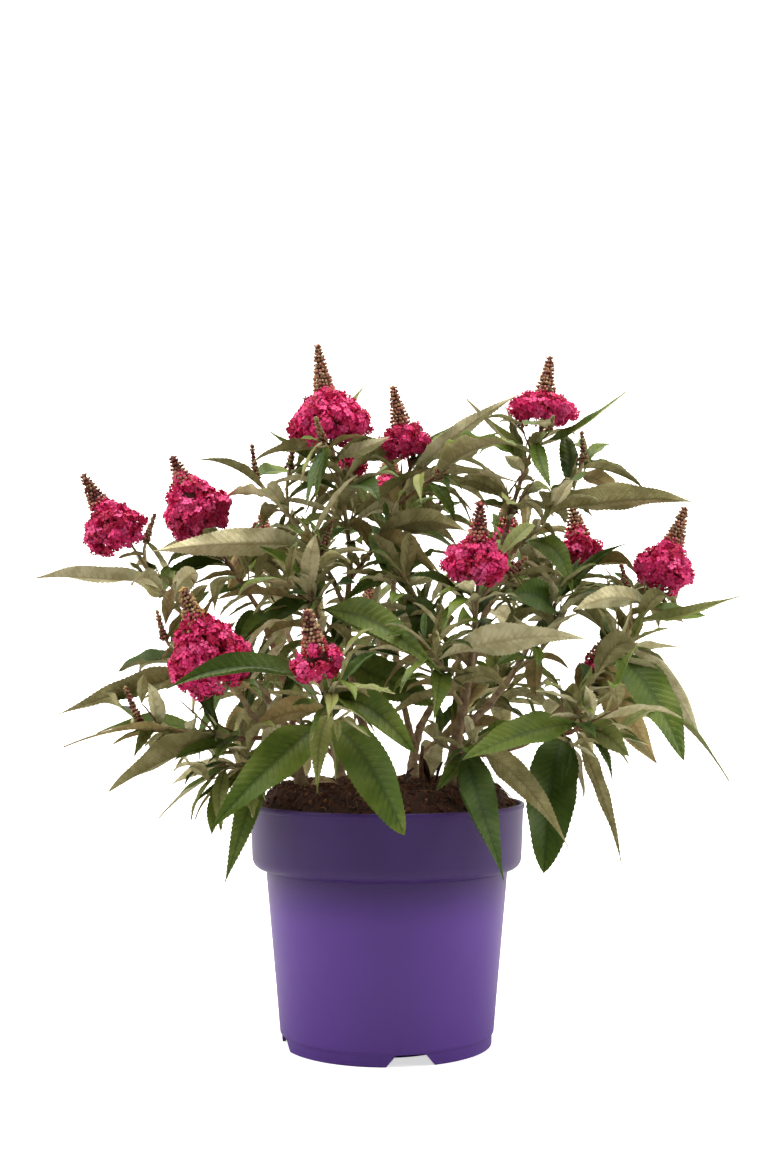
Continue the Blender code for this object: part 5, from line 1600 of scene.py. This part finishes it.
def add_spike(buds, base, tip, foot_radius, tones, sizes, rng, foot_tones=()):
    """Stacked whorls of round closed knobs, narrowing to a blunt tip."""
    length, axes = norm(tip - base), spun(tip - base, rng)
    tiers = max(4, int(round(length / sizes.tier)))
    turn = 0
    for tier in range(tiers):
        share = tier / tiers
        radius = foot_radius * np.interp(share, SPIKE_SHARES, SPIKE_RADII) * rng.uniform(0.94, 1.06)
        around = max(4, int(round(2 * pi * radius / (sizes.bud * 0.98))))
        tone = pick(rng, tones)
        if share > 0.7:
            tone = tones[1]
        elif foot_tones and tier < 5:
            tone = foot_tones[min(tier // 3, len(foot_tones) - 1)]
        for k in range(around):
            out = outward(axes, turn + 2 * pi * (k + rng.uniform(-0.18, 0.18)) / around)
            size = sizes.bud * rng.uniform(0.84, 1.16) * (1 - 0.22 * share)
            inner = max(0, radius * rng.uniform(0.92, 1.08) - size * 0.9)
            lift = share * length + rng.uniform(-0.0007, 0.0007)
            mixed = tone if rng.random() < 0.4 else pick(rng, tones)
            add_bud(buds, base + axes[2] * lift + out * inner, out + axes[2] * (0.25 + 0.5 * share),
                    size, mixed, rng, 1, KNOB_RINGS)
        turn += pi / around + rng.uniform(-0.1, 0.1)
    add_bud(buds, tip - axes[2] * 0.0035, axes[2], 0.004, tones[0], rng, 1.2)
    # painted shade: a dark core that darkens the gaps between the knobs
    spots = base + np.linspace(0, 0.96, 5)[:, None] * (tip - base)
    round_run(buds, spots, foot_radius * np.array((0.66, 0.54, 0.42, 0.29, 0.15)), 7, "calyx")


def bark_relief(limb, seed, depth):
    """Height of the bark over a limb: long ridges and small pits."""
    def height(number, turns):
        spot = limb.point(min(1, number / max(1, limb.count - 1)))
        high = []
        for turn in turns:
            place = Vector((cos(turn) * 1.7 + seed, sin(turn) * 1.7, spot.z * 55 + spot.x * 40))
            ridge = noise.noise(Vector((place.x * 1.6, place.y * 1.6, place.z * 0.45)))
            pit = noise.noise(place * 3.1)
            high.append(depth * (ridge + 0.45 * pit))
        return np.array(high)
    return height


class BUSH_OT_add_pot(bpy.types.Operator):
    """Add the round pot with its band, lip, foot step and notches"""

    bl_idname = "bush.add_pot"
    bl_label = "Add pot"

    def execute(self, context):
        sizes = context.scene.bush_pot
        piece = add_plain("nursery_pot", *lathe(pot_profile(sizes.lip), sizes.sides))
        cutters = [self.notch(k) for k in range(NOTCH_COUNT)]
        for cutter in cutters:
            cut = piece.modifiers.new("notch", "BOOLEAN")
            cut.operation, cut.object, cut.solver = "DIFFERENCE", cutter, "EXACT"
        seen = piece.evaluated_get(context.evaluated_depsgraph_get())
        piece.modifiers.clear()
        piece.data = bpy.data.meshes.new_from_object(seen)
        for cutter in cutters:
            bpy.data.objects.remove(cutter, do_unlink=True)
        piece.data.shade_smooth()
        piece.data.set_sharp_from_angle(angle=radians(SHARP_ANGLE))
        piece.data.materials.clear()
        piece.data.materials.append(pot_material(tuple(sizes.colour)))
        hand_over(piece, "pot_plastic", "pot")
        return {"FINISHED"}

    def notch(self, number):
        near, far, top = FOOT_RADIUS - 0.012, FOOT_RADIUS + 0.006, FOOT_HEIGHT - 0.0016
        outline_points = [(-NOTCH_FOOT_WIDTH / 2, -0.002), (NOTCH_FOOT_WIDTH / 2, -0.002),
                (NOTCH_TOP_WIDTH / 2, top), (-NOTCH_TOP_WIDTH / 2, top)]
        points = [(near, y, z) for y, z in outline_points] + [(far, y, z) for y, z in outline_points]
        faces = [(3, 2, 1, 0), (4, 5, 6, 7), (0, 1, 5, 4), (1, 2, 6, 5), (2, 3, 7, 6), (3, 0, 4, 7)]
        turn = Matrix.Rotation(NOTCH_TURN + 2 * pi * number / NOTCH_COUNT, 3, "Z")
        return add_plain("notch_cutter", [turn @ Vector(p) for p in points], faces)


def compost_height(x, y):
    """Height of the fill's rough crown above the ground."""
    radius = hypot(x, y)
    edge, brim = compost_profile()[-4]
    level = float(np.interp(radius, [0, PLATEAU_RADIUS, PLATEAU_RADIUS + 0.006, edge],
            [COMPOST_TOP, COMPOST_TOP, COMPOST_TOP - 0.003, brim]))
    rough = noise.fractal(Vector((x, y, 0)) * 95, 0.8, 2.1, 4)
    lumps = noise.noise(Vector((x, y, 3)) * 38)
    calm = min(1, max(0, (edge - radius) / 0.006))
    return level - 0.0014 + (0.0016 * rough + 0.0022 * lumps) * calm


def on_fill(x, y, rise=0):
    """A place on the fill or above it, given in millimetres."""
    x, y = x / 1000, y / 1000
    return Vector((x, y, compost_height(x, y) + rise / 1000))


class BUSH_OT_add_compost(bpy.types.Operator):
    """Add the rough fill with its fibres, chips and crumbs"""

    bl_idname = "bush.add_compost"
    bl_label = "Add compost"

    def execute(self, context):
        sizes = context.scene.bush_pot
        stock = Stock({**finishes("compost", COMPOSTS), **finishes("felt", LITTER_FINISH)})
        rng = np.random.default_rng(7)
        self.crown(stock)
        for _ in range(sizes.fibres):
            self.fibre(stock, rng)
        for _ in range(sizes.chips):
            self.chip(stock, rng)
        for root, tip, width, tone in LITTER:
            root, tip = on_fill(*root), on_fill(*tip)
            leaf = Leaf(root, arched(root, tip, LITTER_ARCH), tip, width / 1000, LITTER_ROLL)
            add_blade(stock, leaf, tone, tone, context.scene.bush_leaf, rng)
        hand_over(stock.build("compost_fill"), "compost", "compost")
        return {"FINISHED"}

    def crown(self, stock):
        """Turned rings down the inside of the pot, and a net over the rough top."""
        profile = compost_profile()
        edge = profile[-4][0]
        levels = profile[1:-4] + [(edge * (1 - ring / FILL_RINGS), None) for ring in range(FILL_RINGS)]
        points = []
        for radius, height in levels:
            for x, y in circle(radius, FILL_SIDES):
                points.append((x, y, compost_height(x, y) if height is None else height))
        points += [(0, 0, profile[0][1]), (0, 0, compost_height(0, 0))]
        stock.add(np.array(points), run_faces(len(levels), FILL_SIDES), "compost_dark")

    def spot(self, rng):
        radius, turn = LOOSE_REACH * sqrt(rng.random()), rng.uniform(0, FULL_TURN)
        return radius * cos(turn), radius * sin(turn)

    def fibre(self, stock, rng):
        x, y = self.spot(rng)
        run, turn, bow = rng.uniform(0.004, 0.022), rng.uniform(0, FULL_TURN), rng.uniform(-0.9, 0.9)
        lift, tilt = rng.uniform(0.0004, 0.003), rng.uniform(-0.0012, 0.0022)
        spots = []
        for t in np.linspace(-0.5, 0.5, 6):
            swing = turn + bow * t * 2
            px, py = x + run * t * cos(swing), y + run * t * sin(swing)
            reach = min(1, FIBRE_REACH / max(1e-6, hypot(px, py)))
            px, py = px * reach, py * reach
            level = compost_height(px, py) + lift * (1 - 4 * t * t) + tilt * (t + 0.5)
            spots.append((px, py, level))
        thick = rng.uniform(0.00015, 0.00042)
        tone = pick(rng, ("compost_fibre", "compost_rust", "compost_dark"))
        radii = thick * np.array((0.6, 1, 1, 0.9, 0.8, 0.4))
        round_run(stock, spots, radii, 3, tone, caps=False)

    def chip(self, stock, rng):
        x, y = self.spot(rng)
        points, cones, quads = bud_form(5)
        size = rng.uniform(0.0015, 0.0052)
        shape = np.array((rng.uniform(0.7, 2), rng.uniform(0.5, 1.3), 1)) * size
        way = rng.normal(0, 1, 3) * (1, 1, 0.35)
        axes = spun(way, rng)
        place = np.array((x, y, compost_height(x, y) + size * 0.1))
        tone = pick(rng, ("compost_dark", "compost_rust", "compost_dark", "compost_fibre"))
        jolt = points + rng.normal(0, 0.07, points.shape)
        stock.add(place + ((jolt - (0, 0, 0.5)) * shape) @ axes, (cones, quads), tone)


class BUSH_OT_add_limbs(bpy.types.Operator):
    """Add the woody stems and boughs with their bark"""

    bl_idname = "bush.add_limbs"
    bl_label = "Add stems and boughs"

    def execute(self, context):
        stock = Stock(finishes("bark", BARKS))
        limbs, _ = grown()
        red = ("stem_centre", "stem_old", "bough_front", "bough_left_upper")
        for seed, (name, limb) in enumerate(limbs.items()):
            self.add_limb(stock, limb, seed, "bark_red" if name in red else "bark_tan", name)
        hand_over(stock.build("stems_and_boughs"), "bark", *limbs)
        return {"FINISHED"}

    def add_limb(self, stock, limb, seed, finish, name):
        run = limb.run()
        count = max(8, int(run / BARK_STEP))
        spots, radii = [], []
        for i in range(count + 1):
            t = i / count
            spots.append(limb.point(t))
            flare, fade = (0.42, 0.006) if name.startswith("stem") else (0.22, 0.004)
            radius = limb.radius(t) * 0.82 * (1 + flare * exp(-t * run / fade))
            swell = exp(-((t * run) % 0.026 - 0.013) ** 2 / 0.0000035)
            radii.append(radius * (1 + 0.16 * swell))
        limb.count = count + 2
        round_run(stock, sunk(spots, 0.0035), [radii[0]] + radii, 14, finish,
                bark_relief(limb, seed * 3.7, BARK_DEPTH))


class BUSH_OT_add_twigs(bpy.types.Operator):
    """Add the leading twigs, side twigs and sprigs"""

    bl_idname = "bush.add_twigs"
    bl_label = "Add twigs"

    def execute(self, context):
        stock = Stock(finishes("bark", TWIG_BARKS))
        _, shoots = grown()
        for number, shoot in enumerate(shoots.values()):
            tone = "twig_red" if number % 3 == 1 else "twig_felt"
            for twig in shoot.twigs:
                self.add_twig(stock, twig, tone, twig is shoot.leader)
            for start, bend, end in shoot.sprigs:
                spots = [along(start, bend, end, t / 4) for t in range(5)]
                round_run(stock, spots, (0.0011, 0.0009, 0.0008, 0.0007, 0.0005), 5, tone)
            for bloom in shoot.blooms:
                if bloom.kind != "bud":
                    spots = [bloom.base.lerp(bloom.tip, t) for t in (0, 0.2, 0.4, 0.6)]
                    round_run(stock, spots, (0.0015, 0.0012, 0.001, 0.0007), 6, tone)
        hand_over(stock.build("twigs"), "foliage")
        return {"FINISHED"}

    def add_twig(self, stock, twig, tone, leads):
        run = twig.run()
        count = max(6, int(run / TWIG_STEP))
        pairs = [FIRST_PAIR + PAIR_RUN * (k + 0.5) / 4 for k in range(4)]
        radii, spots = [], []
        thick, thin = (0.0021, 0.0015) if leads else (0.0014, 0.001)
        for i in range(count + 1):
            t = i / count
            near = min(abs(t - share) for share in pairs) * run
            spots.append(twig.point(t))
            radii.append((thick + (thin - thick) * t) * (1 + 0.38 * exp(-(near / 0.0022) ** 2)))
        round_run(stock, sunk(spots, 0.002), [radii[0] * 1.2] + radii, 8, tone)


class BUSH_OT_add_leaves(bpy.types.Operator):
    """Add every leaf, one piece for each sector of the crown"""

    bl_idname = "bush.add_leaves"
    bl_label = "Add leaves"

    def execute(self, context):
        sizes = context.scene.bush_leaf
        skins = {**finishes("leaf", UPPER_FINISHES), **finishes("felt", FELT_FINISHES)}
        _, shoots = grown()
        for sector, names in SECTORS.items():
            stock = Stock(skins)
            for name in names:
                self.add_shoot(stock, shoots[name], sizes)
            piece = stock.build("leaves_" + sector)
            hand_over(piece, "foliage", *("foliage_" + name for name in names))
        return {"FINISHED"}

    def add_shoot(self, stock, shoot, sizes):
        rng = np.random.default_rng(len(shoot.name) * 131 + len(shoot.leaves))
        # the darkest green among these is partly painted shade
        uppers = ("leaf_green", "leaf_green", "leaf_deep", "leaf_blue", "leaf_young")
        felts = ("felt_olive", "felt_olive", "felt_tan", "felt_cream")
        for number, leaf in enumerate(shoot.leaves):
            upper, felt = pick(rng, uppers), pick(rng, felts)
            rolled = rng.choice((0, 0, 0, -1, 1))
            if number >= shoot.shown:
                leaf = self.lifted(leaf, rng)
            if leaf.look:
                leaf, rolled = leaf._replace(roll=leaf.look.facing), leaf.look.margin
                if leaf.look.finish in ("green", "deep", "blue", "young"):
                    upper, felt = "leaf_" + leaf.look.finish, "felt_cream" if rolled else felt
                else:
                    felt = "felt_" + leaf.look.finish
            add_blade(stock, leaf, upper, felt, sizes, rng, rolled)
        for leaf in shoot.small_leaves:
            upper = pick(rng, ("leaf_green", "leaf_young", "leaf_blue"))
            felt = pick(rng, ("felt_olive", "felt_cream"))
            add_blade(stock, leaf, upper, felt, sizes, rng)

    def lifted(self, leaf, rng):
        """A rule leaf a little perkier than its solid."""
        lift = (leaf.tip - leaf.root).length * rng.uniform(0, 0.16)
        roll = 10 + abs(leaf.roll) * ROLL_SPREAD
        if (leaf.tip.x > leaf.root.x) != (rng.random() < UPPER_SHARE):
            roll = -roll
        return leaf._replace(knee=leaf.knee + UP * (lift * 0.3), tip=leaf.tip + UP * lift, roll=roll)


class BUSH_OT_add_blossom(bpy.types.Operator):
    """Add the florets, and the spikes of closed buds above them"""

    bl_idname = "bush.add_blossom"
    bl_label = "Add blossom"

    def execute(self, context):
        sizes = context.scene.bush_blossom
        petals, tones = (finishes("petal", shaded(colours, 0.62)) for colours in (PETALS, BUDS))
        _, shoots = grown()
        buds = Stock(tones)
        for half, sectors in (("left", ("left", "low_left", "middle", "top")),
                ("right", ("right", "low_right", "back"))):
            names = [name for sector in sectors for name in SECTORS[sector]]
            stock = Stock(petals)
            for name in names:
                for number, bloom in enumerate(shoots[name].blooms):
                    rng = np.random.default_rng(sum(map(ord, name)) + number)
                    self.add_bloom(stock, buds, name, bloom, sizes, rng)
            hand_over(stock.build("florets_" + half), "foliage")
        hand_over(buds.build("flower_buds"), "foliage")
        return {"FINISHED"}

    def add_bloom(self, stock, buds, name, bloom, sizes, rng):
        start, end, shift, wide, *tones = PHOTO_BLOOMS.get(name, USUAL_BLOOM)
        if bloom.kind == "panicle" and name in BACK_SHOOTS:
            bloom = bloom._replace(tip=bloom.base.lerp(bloom.tip, BACK_BLOOM_LENGTH),
                    width=bloom.width * BACK_BLOOM_WIDTH)
        elif bloom.kind == "panicle":
            bloom = bloom._replace(base=bloom.base + at((shift, 0, 0)), width=bloom.width * wide)
        base, tip = np.array(bloom.base), np.array(bloom.tip)
        if bloom.kind == "bud":
            add_spike(buds, base, tip, bloom.width * 0.46, ("bud_green", "bud_brown", "bud_maroon"),
                    sizes, rng)
            return
        reach = (start, end) if bloom.kind == "panicle" else (0, 1)
        add_body(stock, buds, bloom, sizes, rng, name in SPARSE_BLOOMS, reach)
        if bloom.kind == "panicle":
            foot = base + (tip - base) * (end - SPIKE_SINK)
            add_spike(buds, foot, tip, SPIKE_WIDTH, tones or USUAL_TONES, sizes, rng,
                    ("bud_crimson", "bud_rose"))


class BUSH_OT_add_stage(bpy.types.Operator):
    """Add the pale floor with its curved backdrop, the soft lights and the camera"""

    bl_idname = "bush.add_stage"
    bl_label = "Add stage"

    def execute(self, context):
        sizes = context.scene.bush_stage
        self.floor(tuple(sizes.floor))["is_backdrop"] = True
        self.sky(context, sizes.sky)
        for name, (place, aim, size, share) in LAMPS.items():
            lamp = bpy.data.lights.new(name, "AREA")
            lamp.size, lamp.energy, lamp.color = size, sizes.key * share, LAMP_TINT
            light, way = add_object(name, lamp), Vector(aim) - Vector(place)
            light.location, light.rotation_euler = place, way.to_track_quat("-Z", "Y").to_euler()
        context.scene.view_settings.view_transform = "Standard"
        camera = bpy.data.cameras.new("front_camera")
        camera.lens, camera.sensor_width = LENS_MM, SENSOR_MM
        view = add_object("front_camera", camera)
        view.location, view.rotation_euler = CAMERA_PLACE, (pi / 2 + CAMERA_PITCH, 0, 0)
        context.scene.camera = view
        return {"FINISHED"}

    def floor(self, colour):
        """A floor that sweeps up behind the plant."""
        reach, back, bend, top = 5, 2.4, 1.4, 5
        outline_points = [(-4, 0), (back - bend, 0)]
        for k in range(1, 13):
            turn = k * pi / 24
            outline_points.append((back - bend + bend * sin(turn), bend - bend * cos(turn)))
        outline_points.append((back, top))
        points = [(x, y, z) for y, z in outline_points for x in (-reach, reach)]
        faces = [(2 * i, 2 * i + 1, 2 * i + 3, 2 * i + 2) for i in range(len(outline_points) - 1)]
        floor = add_plain("studio_floor", points, faces)
        floor.data.shade_smooth()
        skin = Skin(*SKINS["floor"])
        material = new_material("studio_floor", skin)
        tree = material.node_tree
        seen = node(tree, "LightPath").outputs["Is Camera Ray"]
        dim = (*(part * FLOOR_BOUNCE for part in colour), 1)
        tone = patches(material, skin, colour, colour)
        feed(material, "Base Color", colour_mix(tree, seen, dim, tone))
        glow = (FLOOR_GLOW, FLOOR_GLOW, FLOOR_GLOW, 1)
        feed(material, "Emission Color", colour_mix(tree, seen, (0, 0, 0, 1), glow))
        feed(material, "Emission Strength", 1)
        floor.data.materials.append(material)
        return floor

    def sky(self, context, strength):
        world = bpy.data.worlds.new("studio_sky")
        world.use_nodes = True
        tree = world.node_tree
        background, seen = tree.nodes["Background"], node(tree, "LightPath")
        grey = (strength, strength, strength, 1)
        shade = colour_mix(tree, seen.outputs["Is Camera Ray"], grey, (1, 1, 1, 1))
        tree.links.new(shade, background.inputs["Color"])
        context.scene.world = world


OPERATORS = (BUSH_OT_add_stage, BUSH_OT_add_pot, BUSH_OT_add_compost, BUSH_OT_add_limbs,
             BUSH_OT_add_twigs, BUSH_OT_add_leaves, BUSH_OT_add_blossom)
SETTINGS = {"bush_pot": BushPotSettings, "bush_leaf": BushLeafSettings,
            "bush_blossom": BushBlossomSettings, "bush_stage": BushStageSettings}


class BUSH_PT_panel(bpy.types.Panel):
    """Sidebar panel with one button for each piece"""

    bl_label = "Potted Butterfly Bush"
    bl_idname = "BUSH_PT_panel"
    bl_space_type = "VIEW_3D"
    bl_region_type = "UI"
    bl_category = "Bush"

    def draw(self, context):
        for operator in OPERATORS:
            self.layout.operator(operator.bl_idname)


def register():
    for kind in (*SETTINGS.values(), *OPERATORS, BUSH_PT_panel):
        bpy.utils.register_class(kind)
    for name, kind in SETTINGS.items():
        setattr(bpy.types.Scene, name, bpy.props.PointerProperty(type=kind))


def unregister():
    for name in SETTINGS:
        delattr(bpy.types.Scene, name)
    for kind in (BUSH_PT_panel, *reversed(OPERATORS), *SETTINGS.values()):
        bpy.utils.unregister_class(kind)


def main():
    register()
    bpy.ops.bush.add_stage()
    bpy.ops.bush.add_pot()
    bpy.ops.bush.add_compost()
    bpy.ops.bush.add_limbs()
    bpy.ops.bush.add_twigs()
    bpy.ops.bush.add_leaves()
    bpy.ops.bush.add_blossom()
    boxes = {"cad": CAD_BOX, "visual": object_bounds()}
    plain = {name: [list(corner) for corner in box] for name, box in boxes.items()}


if __name__ == "__main__":
    main()
